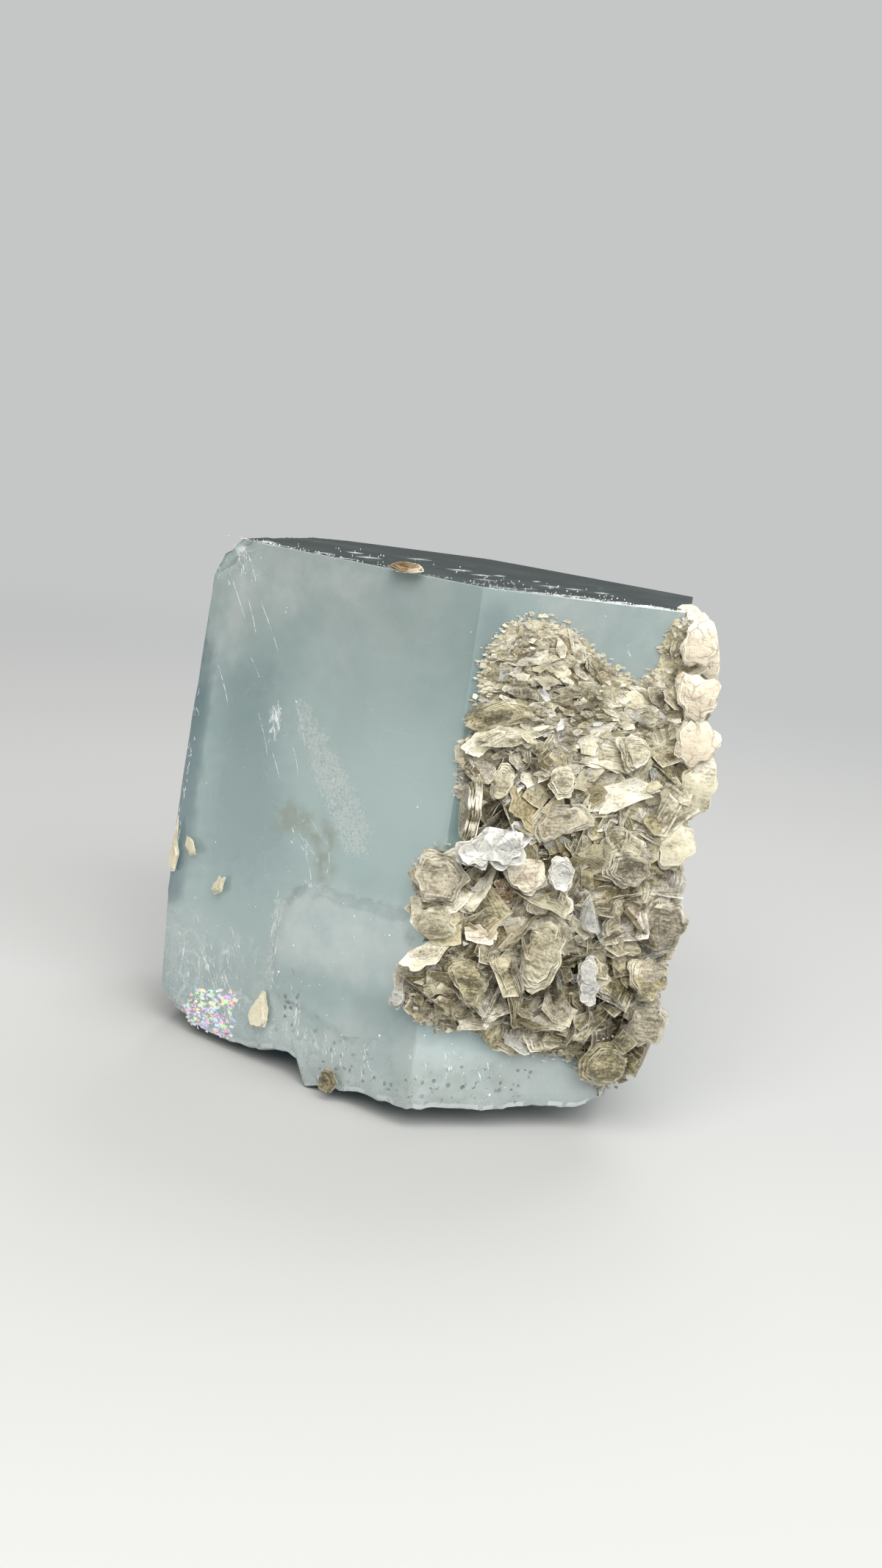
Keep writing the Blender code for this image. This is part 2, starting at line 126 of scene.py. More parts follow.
def outline_distance(across: float, up: float, outline: Outline) -> float:
    """Signed distance from a spot to a closed outline, positive inside it.

    Args:
        across: The spot's first coordinate.
        up: The spot's second coordinate.
        outline: The outline's points in order.

    Returns:
        The distance to the nearest edge.
    """
    nearest = math.inf
    inside = False
    for (x0, y0), (x1, y1) in sides_of(outline):
        run_x, run_y = x1 - x0, y1 - y0
        share = ((across - x0) * run_x + (up - y0) * run_y) / (run_x**2 + run_y**2)
        share = min(1.0, max(0.0, share))
        nearest = min(nearest, math.hypot(across - x0 - run_x * share, up - y0 - run_y * share))
        if (y0 > up) != (y1 > up) and across < x0 + run_x * (up - y0) / run_y:
            inside = not inside
    return nearest if inside else -nearest


def rough(point: Vector, scale: float, seed: float = 0.0) -> float:
    """Smooth noise between about -1 and 1 at a point, with a number of bumps per millimetre."""
    return noise.noise(point * scale + Vector((seed, -seed, 2.0 * seed)))


@dataclass(frozen=True)
class Prism:
    """The walls that everything on the crystal is placed by."""

    top: float = 53.9
    base_level: float = -0.7
    centre: Pair = (-0.854, -2.25)
    first_heading: float = 232.0
    distances: tuple[float, ...] = (22.0, 27.3, 24.0, 23.7, 25.7, 25.85)
    corner_blend: float = 3.0

    def normal(self, face: int) -> Vector:
        """Outward normal of a face, counted from the front-left one."""
        return unit_way(self.first_heading + 60.0 * (face % 6))

    def corner(self, face: int) -> Vector:
        """Corner of the outline between a face and the next one round."""
        first, second = self.normal(face), self.normal(face + 1)
        reach, after = self.distances[face % 6], self.distances[(face + 1) % 6]
        scale = first.x * second.y - first.y * second.x
        x = (reach * second.y - after * first.y) / scale
        y = (first.x * after - second.x * reach) / scale
        return Vector((x, y, 0.0))

    def run(self, face: int) -> Vector:
        """Unit direction along a face, to the right as seen from outside."""
        return (self.corner(face) - self.corner(face - 1)).normalized()

    def find_starts(self) -> list[float]:
        """Distance along the faces at which each starts, and where the last one ends."""
        starts = [-(self.corner(0) - self.corner(5)).length]
        for face in range(6):
            starts.append(starts[-1] + (self.corner(face) - self.corner(face - 1)).length)
        return starts

    def wrap(self, along: float) -> float:
        """A distance along the faces, brought to its one place on the first way round."""
        return (along - STARTS[0]) % AROUND + STARTS[0]

    def wall(self, along: float) -> tuple[Vector, Vector]:
        """Foot of the wall and the outward direction there, blended round the corners.

        Args:
            along: Distance along the faces.

        Returns:
            The point at height 0 and the unit direction out of the wall.
        """
        along = self.wrap(along)
        face = max(index for index in range(6) if along >= STARTS[index])
        offset, length = along - STARTS[face], STARTS[face + 1] - STARTS[face]
        foot = self.corner(face - 1) + self.run(face) * offset
        near_start = max(0.0, 1.0 - offset / self.corner_blend) / 2
        near_end = max(0.0, 1.0 - (length - offset) / self.corner_blend) / 2
        outward = self.normal(face).lerp(self.normal(face - 1), near_start)
        outward = outward.lerp(self.normal(face + 1), near_end)
        return foot, outward.normalized()

    def point(self, along: float, height: float, out: float = 0.0) -> Vector:
        """Point by distance along the faces, height, and distance out."""
        foot, outward = self.wall(along)
        return foot + outward * out + Vector((0.0, 0.0, height))

    def along(self, point: Vector, face: int) -> float:
        """Distance along the faces of a point that is on, or out from, a known face."""
        return STARTS[face] + (point - self.corner(face - 1)).dot(self.run(face))

    def outs(self, point: Vector) -> list[float]:
        """A point's distance out of each wall, less than 0 inside it."""
        return [point.dot(self.normal(face)) - self.distances[face] for face in range(6)]

    def address(self, point: Vector) -> tuple[float, float, float]:
        """Distance along the faces, height, and distance out of the nearest wall, for a point."""
        outs = self.outs(point)
        face = max(range(6), key=lambda index: outs[index])
        return self.along(point, face), point.z, outs[face]

    def origin(self) -> Vector:
        """The shared frame's origin, in the prism's own millimetres."""
        return Vector((*self.centre, self.base_level))

    def to_row(self, point: Vector) -> Vector:
        """A point in metres in the frame that the CAD nodes share."""
        return (point - self.origin()) * MM

    def from_row(self, point: Vector) -> Vector:
        """A point of the shared frame in the prism's own millimetres."""
        return point / MM + self.origin()


PRISM = Prism()
STARTS = PRISM.find_starts()
AROUND = STARTS[6] - STARTS[0]


@dataclass(frozen=True)
class Viewpoint:
    """The camera: where it stands, how it is turned and the frame it takes.

    Some places are written as the pixel of that frame where they show, and are found from here.
    """

    at: tuple[float, float, float] = (0.000854, -0.18925, 0.064689)
    look_down: float = 10.1847
    roll: float = 8.468
    lens: float = 39.76
    sensor: float = 36.0
    frame: Pair = (1200, 2133)

    def axes(self) -> tuple[Vector, Vector, Vector]:
        """Unit directions across the frame, up it, and ahead."""
        down, turn = math.radians(self.look_down), math.radians(self.roll)
        ahead = Vector((0.0, math.cos(down), -math.sin(down)))
        right = Vector((1.0, 0.0, 0.0))
        above = right.cross(ahead)
        side = right * math.cos(turn) + above * math.sin(turn)
        return side, above * math.cos(turn) - right * math.sin(turn), ahead

    def meet(self, pixel: Pair, normal: Vector, distance: float) -> Vector:
        """Point, in the prism's millimetres, where a line of sight meets a plane.

        Args:
            pixel: The pixel that the line of sight goes through.
            normal: The plane's unit normal.
            distance: The plane's distance from the prism's centre line.

        Returns:
            The point on the plane.
        """
        side, up, ahead = self.axes()
        focal = self.lens / self.sensor * self.frame[1]
        across, below = pixel[0] - self.frame[0] / 2, pixel[1] - self.frame[1] / 2
        sight = ahead + side * (across / focal) - up * (below / focal)
        start = PRISM.from_row(Vector(self.at))
        return start + sight * ((distance - start.dot(normal)) / sight.dot(normal))

    def on_wall(self, pixel: Pair, face: int, out: float = 0.0) -> Pair:
        """Distance along the faces and height of what shows at a pixel, on a wall or out from it."""
        point = self.meet(pixel, PRISM.normal(face), PRISM.distances[face] + out)
        return PRISM.along(point, face), point.z


VIEW = Viewpoint()


def seen(*pixels: Pair) -> Outline:
    """Places on the front-left wall of what shows at some pixels of the camera's frame."""
    return tuple(VIEW.on_wall(pixel, 0) for pixel in pixels)


class Heap:
    """Points, faces and per-point values that end up as one mesh."""

    def __init__(self) -> None:
        """Start empty."""
        self.points: list[Vector] = []
        self.faces: list[tuple[int, ...]] = []
        self.values: dict[str, list[float]] = {}

    def add(self, points: Sequence[Vector], faces: Iterable[Sequence[int]], **values: object) -> None:
        """Add a part.

        Args:
            points: Its points, in the prism's millimetres.
            faces: Its faces, as numbers of those points.
            **values: One number for all its points, or one each, by attribute name.
        """
        first = len(self.points)
        self.points.extend(points)
        self.faces.extend(tuple(index + first for index in face) for face in faces)
        for name, value in values.items():
            column = self.values.setdefault(name, [0.0] * first)
            column.extend(value if isinstance(value, list) else [value] * len(points))

    def make(self, name: str, slot: str, sharp: float) -> bpy.types.Object:
        """Make the mesh object, which rides on the root body.

        Args:
            name: The piece's name.
            slot: The record's material slot; not used.
            sharp: The angle in degrees above which an edge shows as a crease.

        Returns:
            The object.
        """
        mesh = bpy.data.meshes.new(name)
        mesh.from_pydata([PRISM.to_row(point) for point in self.points], [], self.faces)
        for label, column in self.values.items():
            store(mesh, label, column)
        mesh.validate()
        mesh.shade_smooth()
        mesh.set_sharp_from_angle(angle=math.radians(sharp))
        piece = add_object(name, mesh)
        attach(piece, "root")
        LOG.info("%s: %d faces", name, len(mesh.polygons))
        return piece


def store(mesh: bpy.types.Mesh, label: str, column: Sequence[float]) -> None:
    """Write one number for each point of a mesh as a named attribute."""
    layer = mesh.attributes.new(label, "FLOAT", "POINT")
    layer.data.foreach_set("value", np.array(column, np.float32))


# --------------------------------------------------------------------------------------------------
# Shader helpers and shared node groups
# --------------------------------------------------------------------------------------------------

FLOAT, RGBA, VECTOR = "NodeSocketFloat", "NodeSocketColor", "NodeSocketVector"
Socket = object


class Nodes:
    """A short way to place and wire nodes in one tree."""

    def __init__(self, tree: bpy.types.NodeTree) -> None:
        """Work on a tree."""
        self.tree = tree

    def add(self, kind: str, **settings: object) -> bpy.types.Node:
        """Add a node and set its properties.

        Args:
            kind: The node's Blender type.
            **settings: Properties by name.

        Returns:
            The node.
        """
        node = self.tree.nodes.new(kind)
        for key, value in settings.items():
            setattr(node, key, value)
        return node

    def feed(self, socket: bpy.types.NodeSocket, value: Socket) -> None:
        """Link a socket to an input, or set the input's value."""
        if isinstance(value, bpy.types.NodeSocket):
            self.tree.links.new(value, socket)
        elif isinstance(value, tuple) and socket.type == "RGBA":
            socket.default_value = (*value, 1.0)
        else:
            socket.default_value = value

    def fill(self, node: bpy.types.Node, **values: Socket) -> bpy.types.Node:
        """Feed a node's inputs by name.

        Args:
            node: The node.
            **values: Sockets, numbers or colours, with underscores for spaces in the inputs' names.

        Returns:
            The node.
        """
        for key, value in values.items():
            self.feed(node.inputs[key.replace("_", " ")], value)
        return node

    def math(self, operation: str, first: Socket, second: Socket) -> Socket:
        """The result of a Math node of two inputs, each a socket or a number."""
        node = self.add("ShaderNodeMath", operation=operation)
        self.feed(node.inputs[0], first)
        self.feed(node.inputs[1], second)
        return node.outputs[0]

    def times(self, first: Socket, second: Socket) -> Socket:
        """The product of two values."""
        return self.math("MULTIPLY", first, second)

    def plus(self, first: Socket, second: Socket) -> Socket:
        """The sum of two values."""
        return self.math("ADD", first, second)

    def step(self, source: Socket, low: float, high: float) -> Socket:
        """A value eased from 0 at low to 1 at high; low may be the greater."""
        node = self.add("ShaderNodeMapRange", interpolation_type="SMOOTHSTEP")
        start, end = (1.0, 0.0) if low > high else (0.0, 1.0)
        low, high = sorted((low, high))
        self.fill(node, Value=source, From_Min=low, From_Max=high, To_Min=start, To_Max=end)
        return node.outputs["Result"]

    def mix(self, factor: Socket, first: Socket, second: Socket) -> Socket:
        """A colour mix.

        Args:
            factor: How much of the second shows.
            first: The first colour.
            second: The second colour.

        Returns:
            The mixed colour.
        """
        node = self.add("ShaderNodeMix", data_type="RGBA")
        for place, value in ((0, factor), (6, first), (7, second)):
            self.feed(node.inputs[place], value)
        return node.outputs[2]

    def noise(self, where: Socket, scale: float, detail: float = 3.0, roughness: float = 0.5) -> Socket:
        """Fractal noise between 0 and 1 at a place."""
        node = self.add("ShaderNodeTexNoise")
        return self.fill(node, Scale=scale, Detail=detail, Roughness=roughness, Vector=where).outputs["Fac"]

    def cells(self, where: Socket, scale: float, feature: str = "F1") -> bpy.types.Node:
        """A Voronoi node at a place."""
        return self.fill(self.add("ShaderNodeTexVoronoi", feature=feature), Scale=scale, Vector=where)

    def stretch(self, where: Socket, scale: Colour, turn: Colour = (0.0, 0.0, 0.0)) -> Socket:
        """Coordinates turned, in radians, and scaled along each axis."""
        return self.fill(self.add("ShaderNodeMapping"), Scale=scale, Rotation=turn, Vector=where).outputs[0]

    def bend(self, where: Socket, scale: float, reach: float) -> Socket:
        """Coordinates pushed about by noise, by up to a reach in metres."""
        wobble = self.fill(self.add("ShaderNodeTexNoise"), Scale=scale, Vector=where)
        node = self.add("ShaderNodeVectorMath", operation="MULTIPLY_ADD")
        self.feed(node.inputs[0], wobble.outputs["Color"])
        node.inputs[1].default_value = (reach, reach, reach)
        self.feed(node.inputs[2], where)
        return node.outputs[0]

    def join(self, x: Socket, y: Socket, z: Socket) -> Socket:
        """A vector of three values."""
        node = self.add("ShaderNodeCombineXYZ")
        for socket, value in zip(node.inputs, (x, y, z)):
            self.feed(socket, value)
        return node.outputs[0]

    def mask(self, name: str) -> Socket:
        """A per-point value stored in the mesh."""
        return self.add("ShaderNodeAttribute", attribute_name=name).outputs["Fac"]

    def place(self) -> Socket:
        """The position in the piece, in metres."""
        return self.add("ShaderNodeTexCoord").outputs["Object"]

    def bump(self, height: Socket, shader: bpy.types.Node, strength: float, distance: float) -> None:
        """Feed a height to a shader's normal through a Bump node."""
        node = self.fill(self.add("ShaderNodeBump"), Strength=strength, Distance=distance, Height=height)
        self.feed(shader.inputs["Normal"], node.outputs["Normal"])

    def group(self, tree: bpy.types.NodeTree, **values: Socket) -> bpy.types.Node:
        """Place a node group and feed its inputs, named as in fill."""
        return self.fill(self.add("ShaderNodeGroup", node_tree=tree), **values)


def start_group(
    name: str, inputs: Sequence[tuple[str, str]], outputs: Sequence[tuple[str, str]]
) -> tuple[Nodes, bpy.types.Node, bpy.types.Node]:
    """Start a shader node group with named sockets.

    Args:
        name: The group's name.
        inputs: (name, socket type) of each input.
        outputs: (name, socket type) of each output.

    Returns:
        The group's nodes, its input node and its output node.
    """
    tree = bpy.data.node_groups.new(name, "ShaderNodeTree")
    for label, kind in inputs:
        tree.interface.new_socket(label, in_out="INPUT", socket_type=kind)
    for label, kind in outputs:
        tree.interface.new_socket(label, in_out="OUTPUT", socket_type=kind)
    return Nodes(tree), tree.nodes.new("NodeGroupInput"), tree.nodes.new("NodeGroupOutput")


def build_scratch_group() -> bpy.types.NodeTree:
    """Fine scratches in three directions, as a mask."""
    nodes, start, end = start_group(
        "fine_scratches", [("Vector", VECTOR), ("Amount", FLOAT)], [("Mask", FLOAT)]
    )
    total = None
    for turn in (0.35, 1.25, 2.3):
        spread = nodes.stretch(start.outputs["Vector"], (1.0, 1.0, 1.0), (0.4 * turn, turn, turn))
        cells = nodes.cells(nodes.stretch(spread, (1.0, 0.05, 1.0)), 320.0, "DISTANCE_TO_EDGE")
        line = nodes.step(cells.outputs["Distance"], 0.02, 0.0)
        line = nodes.times(line, nodes.step(nodes.noise(spread, 160.0, 2.0), 0.55, 0.68))
        total = line if total is None else nodes.math("MAXIMUM", total, line)
    nodes.feed(end.inputs["Mask"], nodes.times(total, start.outputs["Amount"]))
    return nodes.tree


def build_grain_group() -> bpy.types.NodeTree:
    """Fine frosted grain: pale specks at two sizes."""
    nodes, start, end = start_group(
        "frosted_grain", [("Vector", VECTOR), ("Cover", FLOAT)], [("Mask", FLOAT)]
    )
    fine = nodes.noise(start.outputs["Vector"], 3600.0, 2.0, 0.7)
    coarse = nodes.noise(start.outputs["Vector"], 900.0, 3.0, 0.6)
    level = nodes.plus(nodes.times(fine, 0.6), nodes.times(coarse, 0.4))
    level = nodes.plus(level, nodes.times(nodes.math("SUBTRACT", start.outputs["Cover"], 1.0), 0.35))
    nodes.feed(end.inputs["Mask"], nodes.step(level, 0.40, 0.58))
    return nodes.tree


def build_veil_group() -> bpy.types.NodeTree:
    """White veins and shell-like streaks of a healed break."""
    nodes, start, end = start_group(
        "healed_veins", [("Vector", VECTOR)], [("Veins", FLOAT), ("Shells", FLOAT)]
    )
    bent = nodes.bend(start.outputs["Vector"], 130.0, 0.006)
    edge = nodes.cells(bent, 330.0, "DISTANCE_TO_EDGE").outputs["Distance"]
    fine = nodes.cells(bent, 900.0, "DISTANCE_TO_EDGE").outputs["Distance"]
    patchy = nodes.step(nodes.noise(start.outputs["Vector"], 260.0, 3.0), 0.42, 0.62)
    fine_veins = nodes.times(nodes.step(fine, 0.05, 0.0), 0.5)
    veins = nodes.math("MAXIMUM", nodes.step(edge, 0.09, 0.0), fine_veins)
    nodes.feed(end.inputs["Veins"], nodes.times(veins, patchy))
    streaks = nodes.noise(nodes.stretch(bent, (1.0, 1.0, 0.25), (0.3, 0.5, 0.2)), 700.0, 4.0, 0.6)
    nodes.feed(end.inputs["Shells"], nodes.step(streaks, 0.45, 0.7))
    return nodes.tree


def build_sheet_group() -> bpy.types.NodeTree:
    """Mica colour, roughness and relief: shade by flake, cloud, streaks, growth rings, cracks, stain."""
    nodes, start, end = start_group(
        "mica_sheet",
        [("Deep Colour", RGBA), ("Pale Colour", RGBA), ("Stain Colour", RGBA), ("Stain", FLOAT),
         ("Cracks", FLOAT), ("Rim", FLOAT)],
        [("Colour", RGBA), ("Roughness", FLOAT), ("Height", FLOAT), ("Cover", FLOAT)],
    )
    where = nodes.place()
    tint, edge = nodes.mask("tint"), nodes.mask("edge")
    own = nodes.join(nodes.mask("across"), nodes.mask("up"), nodes.times(tint, 23.0))
    streaks = nodes.noise(nodes.stretch(own, (0.8, 5.5, 1.0)), 1.0, 4.0, 0.65)
    rings = nodes.noise(nodes.join(nodes.times(edge, 14.0), nodes.times(tint, 31.0), 0.0), 1.0, 3.0, 0.6)
    lines = nodes.times(nodes.math("SUBTRACT", rings, 0.5), nodes.step(edge, 0.2, 0.8))
    cloud = nodes.noise(nodes.stretch(nodes.bend(where, 300.0, 0.002), (0.7, 0.7, 1.3)), 520.0, 4.0, 0.75)
    body = nodes.plus(nodes.times(cloud, 2.2), nodes.times(streaks, 1.1))
    body = nodes.plus(body, nodes.times(lines, 1.4))
    body = nodes.plus(body, nodes.math("SUBTRACT", nodes.times(tint, 0.8), 1.75))
    body = nodes.plus(body, nodes.times(edge, 0.15))
    mottle = nodes.noise(where, 3400.0, 2.0, 0.6)
    body = nodes.plus(body, nodes.times(nodes.math("SUBTRACT", mottle, 0.5), 1.0))
    deep, pale = start.outputs["Deep Colour"], start.outputs["Pale Colour"]
    colour = nodes.mix(nodes.step(body, -0.15, 0.85), deep, pale)
    stained = nodes.step(nodes.noise(where, 170.0, 3.0, 0.6), 0.52, 0.7)
    stained = nodes.times(stained, start.outputs["Stain"])
    colour = nodes.mix(stained, colour, start.outputs["Stain Colour"])
    rim = nodes.times(nodes.step(edge, 0.86, 0.99), nodes.step(nodes.noise(where, 700.0, 2.0), 0.38, 0.6))
    colour = nodes.mix(nodes.times(rim, start.outputs["Rim"]), colour, (0.84, 0.80, 0.66))
    bent = nodes.bend(where, 700.0, 0.0012)
    cells = nodes.cells(bent, 620.0, "DISTANCE_TO_EDGE")
    fading = nodes.step(nodes.noise(where, 420.0, 2.0), 0.38, 0.62)
    fading = nodes.times(fading, start.outputs["Cracks"])
    crack = nodes.times(nodes.step(cells.outputs["Distance"], 0.08, 0.0), fading)
    colour = nodes.mix(nodes.times(crack, 0.65), colour, deep)
    nodes.feed(end.inputs["Colour"], colour)
    polish = nodes.plus(nodes.times(nodes.noise(where, 900.0, 3.0), 0.4), 0.08)
    nodes.feed(end.inputs["Roughness"], nodes.plus(polish, nodes.times(crack, 0.3)))
    ripple = nodes.plus(nodes.times(nodes.noise(where, 1700.0, 3.0, 0.6), 0.6), nodes.times(streaks, 0.5))
    ripple = nodes.plus(nodes.plus(ripple, nodes.times(lines, 0.8)), nodes.times(mottle, 0.6))
    nodes.feed(end.inputs["Height"], nodes.math("SUBTRACT", ripple, nodes.times(crack, 0.8)))
    nodes.feed(end.inputs["Cover"], nodes.math("MAXIMUM", nodes.step(body, -0.3, 1.4), rim))
    return nodes.tree


@dataclass(frozen=True)
class Groups:
    """The shared node groups, built once."""

    scratches: bpy.types.NodeTree = field(default_factory=build_scratch_group)
    grain: bpy.types.NodeTree = field(default_factory=build_grain_group)
    veils: bpy.types.NodeTree = field(default_factory=build_veil_group)
    sheet: bpy.types.NodeTree = field(default_factory=build_sheet_group)


def blank_material(name: str) -> tuple[bpy.types.Material, Nodes, bpy.types.Node]:
    """A new material with its nodes and its Principled shader."""
    material = bpy.data.materials.new(name)
    material.use_nodes = True
    return material, Nodes(material.node_tree), material.node_tree.nodes["Principled BSDF"]


# --------------------------------------------------------------------------------------------------
# Finishes
# --------------------------------------------------------------------------------------------------


@dataclass(frozen=True)
class BerylFinish:
    """Pale sea-blue beryl: see-through, with a milky body that the masks of its faces vary."""

    name: str
    body: Colour = (0.50, 0.62, 0.60)
    pale: Colour = (0.78, 0.84, 0.81)
    # Painted shade: the darker blue that the deep mask paints in bands and patches where the crystal looks
    # dark by refraction.
    deep: Colour = (0.17, 0.25, 0.28)
    milk: Colour = (0.86, 0.90, 0.88)
    transmission: float = 0.6
    roughness: float = 0.16
    coat: float = 1.0
    coat_roughness: float = 0.05
    ior: float = 1.577
    scratches: float = 0.12
    relief: float = 0.2
    relief_height: float = 0.0004
    depth_colour: Colour = (0.45, 0.80, 0.86)
    depth_density: float = 14.0

    def colour(self, nodes: Nodes, groups: Groups, where: Socket) -> tuple[Socket, Socket]:
        """Base colour and the share of it that is broken or frosted.

        Args:
            nodes: The material's nodes.
            groups: The shared groups.
            where: The position socket.

        Returns:
            The colour and the mask of rough places.
        """
        soft = nodes.step(nodes.noise(where, 55.0, 4.0, 0.55), 0.32, 0.72)
        colour = nodes.mix(nodes.times(soft, 0.3), self.body, self.pale)
        # The deep mask paints darker blue: painted shade for the dark bands and patches that refraction
        # makes.
        colour = nodes.mix(nodes.times(nodes.mask("deep"), 0.85), colour, self.deep)
        smoky = nodes.noise(where, 210.0, 5.0, 0.62)
        milky = nodes.times(nodes.mask("cloud"), nodes.step(smoky, 0.1, 0.75))
        colour = nodes.mix(milky, colour, self.milk)
        veils = nodes.group(groups.veils, Vector=where)
        broken = nodes.mask("break")
        colour = nodes.mix(nodes.times(broken, 0.45), colour, (0.70, 0.78, 0.77))
        white = nodes.math("MAXIMUM", veils.outputs["Veins"], nodes.times(veils.outputs["Shells"], 0.55))
        white = nodes.times(white, broken)
        colour = nodes.mix(white, colour, (0.90, 0.93, 0.92))
        film = nodes.times(nodes.mask("film"), nodes.step(nodes.noise(where, 500.0, 3.0), 0.3, 0.6))
        colour = nodes.mix(nodes.times(film, 0.75), colour, (0.34, 0.33, 0.22))
        frost_mask = nodes.mask("frost")
        frost = nodes.group(groups.grain, Vector=where, Cover=frost_mask).outputs["Mask"]
        frost = nodes.times(frost, nodes.step(frost_mask, 0.05, 0.4))
        colour = nodes.mix(nodes.times(frost, 0.8), colour, (0.86, 0.87, 0.83))
        specks = nodes.cells(where, 1500.0).outputs["Distance"]
        chosen = nodes.step(nodes.noise(where, 1100.0, 2.0), 0.50, 0.56)
        specks = nodes.times(nodes.times(nodes.step(specks, 0.42, 0.3), chosen), nodes.mask("specks"))
        colour = nodes.mix(nodes.times(specks, 0.85), colour, (0.08, 0.08, 0.08))
        marks = nodes.group(groups.scratches, Vector=where, Amount=self.scratches).outputs["Mask"]
        colour = nodes.mix(marks, colour, (0.93, 0.96, 0.95))
        return colour, nodes.math("MAXIMUM", nodes.math("MAXIMUM", frost, marks), white)

    def build(self, groups: Groups) -> bpy.types.Material:
        """Build the material from the shared groups."""
        material, nodes, shader = blank_material(self.name)
        where = nodes.place()
        colour, worn = self.colour(nodes, groups, where)
        nodes.feed(shader.inputs["Base Color"], colour)
        rough_level = nodes.plus(nodes.times(nodes.noise(where, 300.0, 4.0), 0.1), self.roughness)
        nodes.feed(shader.inputs["Roughness"], nodes.plus(rough_level, nodes.times(worn, 0.35)))
        swell = nodes.noise(where, 90.0, 3.0, 0.55)
        stripes = nodes.noise(nodes.stretch(where, (1.0, 1.0, 0.05)), 800.0, 3.0, 0.6)
        height = nodes.plus(swell, nodes.times(stripes, 0.12))
        chipped = nodes.noise(where, 300.0, 4.0, 0.6)
        height = nodes.plus(height, nodes.times(nodes.times(chipped, nodes.mask("break")), 2.6))
        nodes.bump(height, shader, self.relief, self.relief_height)
        nodes.fill(shader, IOR=self.ior, Transmission_Weight=self.transmission, Coat_Weight=self.coat,
                   Coat_Roughness=self.coat_roughness, Coat_IOR=self.ior)
        absorb = nodes.add("ShaderNodeVolumeAbsorption")
        nodes.fill(absorb, Color=self.depth_colour, Density=self.depth_density)
        nodes.feed(material.node_tree.nodes["Material Output"].inputs["Volume"], absorb.outputs["Volume"])
        return material


@dataclass(frozen=True)
class MicaFinish:
    """Pearly muscovite: thin sheets with a satin face, crack lines and now and then an iron stain."""

    name: str
    deep: Colour
    pale: Colour
    stain: float = 0.15
    cracks: float = 0.4
    sheen: float = 0.6
    clear: float = 0.0
    rim: float = 0.75
    stain_colour: Colour = (0.36, 0.20, 0.07)
    relief: float = 0.5
    relief_height: float = 0.00012
    ior: float = 1.59
    sheen_roughness: float = 0.1

    def build(self, groups: Groups) -> bpy.types.Material:
        """Build the material from the shared groups."""
        material, nodes, shader = blank_material(self.name)
        sheet = nodes.group(
            groups.sheet, Deep_Colour=self.deep, Pale_Colour=self.pale,
            Stain_Colour=self.stain_colour, Stain=self.stain, Cracks=self.cracks, Rim=self.rim,
        )
        nodes.feed(shader.inputs["Base Color"], sheet.outputs["Colour"])
        nodes.feed(shader.inputs["Roughness"], sheet.outputs["Roughness"])
        nodes.bump(sheet.outputs["Height"], shader, self.relief, self.relief_height)
        if self.clear:
            clear = nodes.times(nodes.math("SUBTRACT", 1.0, sheet.outputs["Cover"]), self.clear)
            nodes.feed(shader.inputs["Alpha"], nodes.math("SUBTRACT", 1.0, clear))
        nodes.fill(shader, IOR=self.ior, Coat_Weight=self.sheen, Coat_Roughness=self.sheen_roughness)
        return material


@dataclass(frozen=True)
class VeilFinish:
    """A thin film or needle sealed in the crystal: part clear, with grain that breaks it up."""

    name: str
    colour: Colour
    cover: float = 0.6
    grain: float = 900.0
    roughness: float = 0.4
    white: Colour = (0.95, 0.96, 0.94)

    def build(self) -> bpy.types.Material:
        """Build the material."""
        material, nodes, shader = blank_material(self.name)
        where = nodes.place()
        shade = nodes.noise(where, self.grain, 3.0)
        colour = nodes.mix(nodes.times(shade, 0.4), self.colour, self.white)
        spots = nodes.step(nodes.noise(where, self.grain, 4.0, 0.6), 0.34, 0.62)
        cover = nodes.times(nodes.times(spots, self.cover), nodes.mask("fade"))
        nodes.fill(shader, Roughness=self.roughness, Base_Color=colour, Alpha=cover)
        return material


@dataclass(frozen=True)
class RainbowFinish:
    """Facets of a fresh break that thin gaps colour like oil on water."""

    name: str = "rainbow_break"
    metallic: float = 0.25
    roughness: float = 0.18

    def build(self) -> bpy.types.Material:
        """Build the material; each facet has its own hue, stored as its tint."""
        material, nodes, shader = blank_material(self.name)
        where = nodes.place()
        drift = nodes.times(nodes.noise(where, 500.0, 2.0), 0.5)
        hue = nodes.math("FRACT", nodes.plus(nodes.mask("tint"), drift), 0.0)
        colour = nodes.add("ShaderNodeCombineColor", mode="HSV")
        nodes.feed(colour.inputs[0], hue)
        nodes.feed(colour.inputs[1], nodes.times(nodes.noise(where, 900.0, 2.0), 0.8))
        colour.inputs[2].default_value = 1.0
        nodes.fill(shader, Base_Color=colour.outputs[0], Metallic=self.metallic, Roughness=self.roughness)
        return material


# --------------------------------------------------------------------------------------------------
# The crystal
# --------------------------------------------------------------------------------------------------


@dataclass(frozen=True)
class Zone:
    """A part of the walls where a mask shows, with a soft edge."""

    mask: str
    outline: Outline
    edge: float
    strength: float = 1.0
    ragged: float = 0.6

    def value(self, along: float, height: float) -> float:
        """The mask's value at a spot of the wall."""
        inside = outline_distance(along, height, self.outline)
        inside += self.ragged * noise.noise(Vector((along * 0.9, height * 0.9, len(self.mask))))
        return self.strength * smooth(0.5 + inside / self.edge)


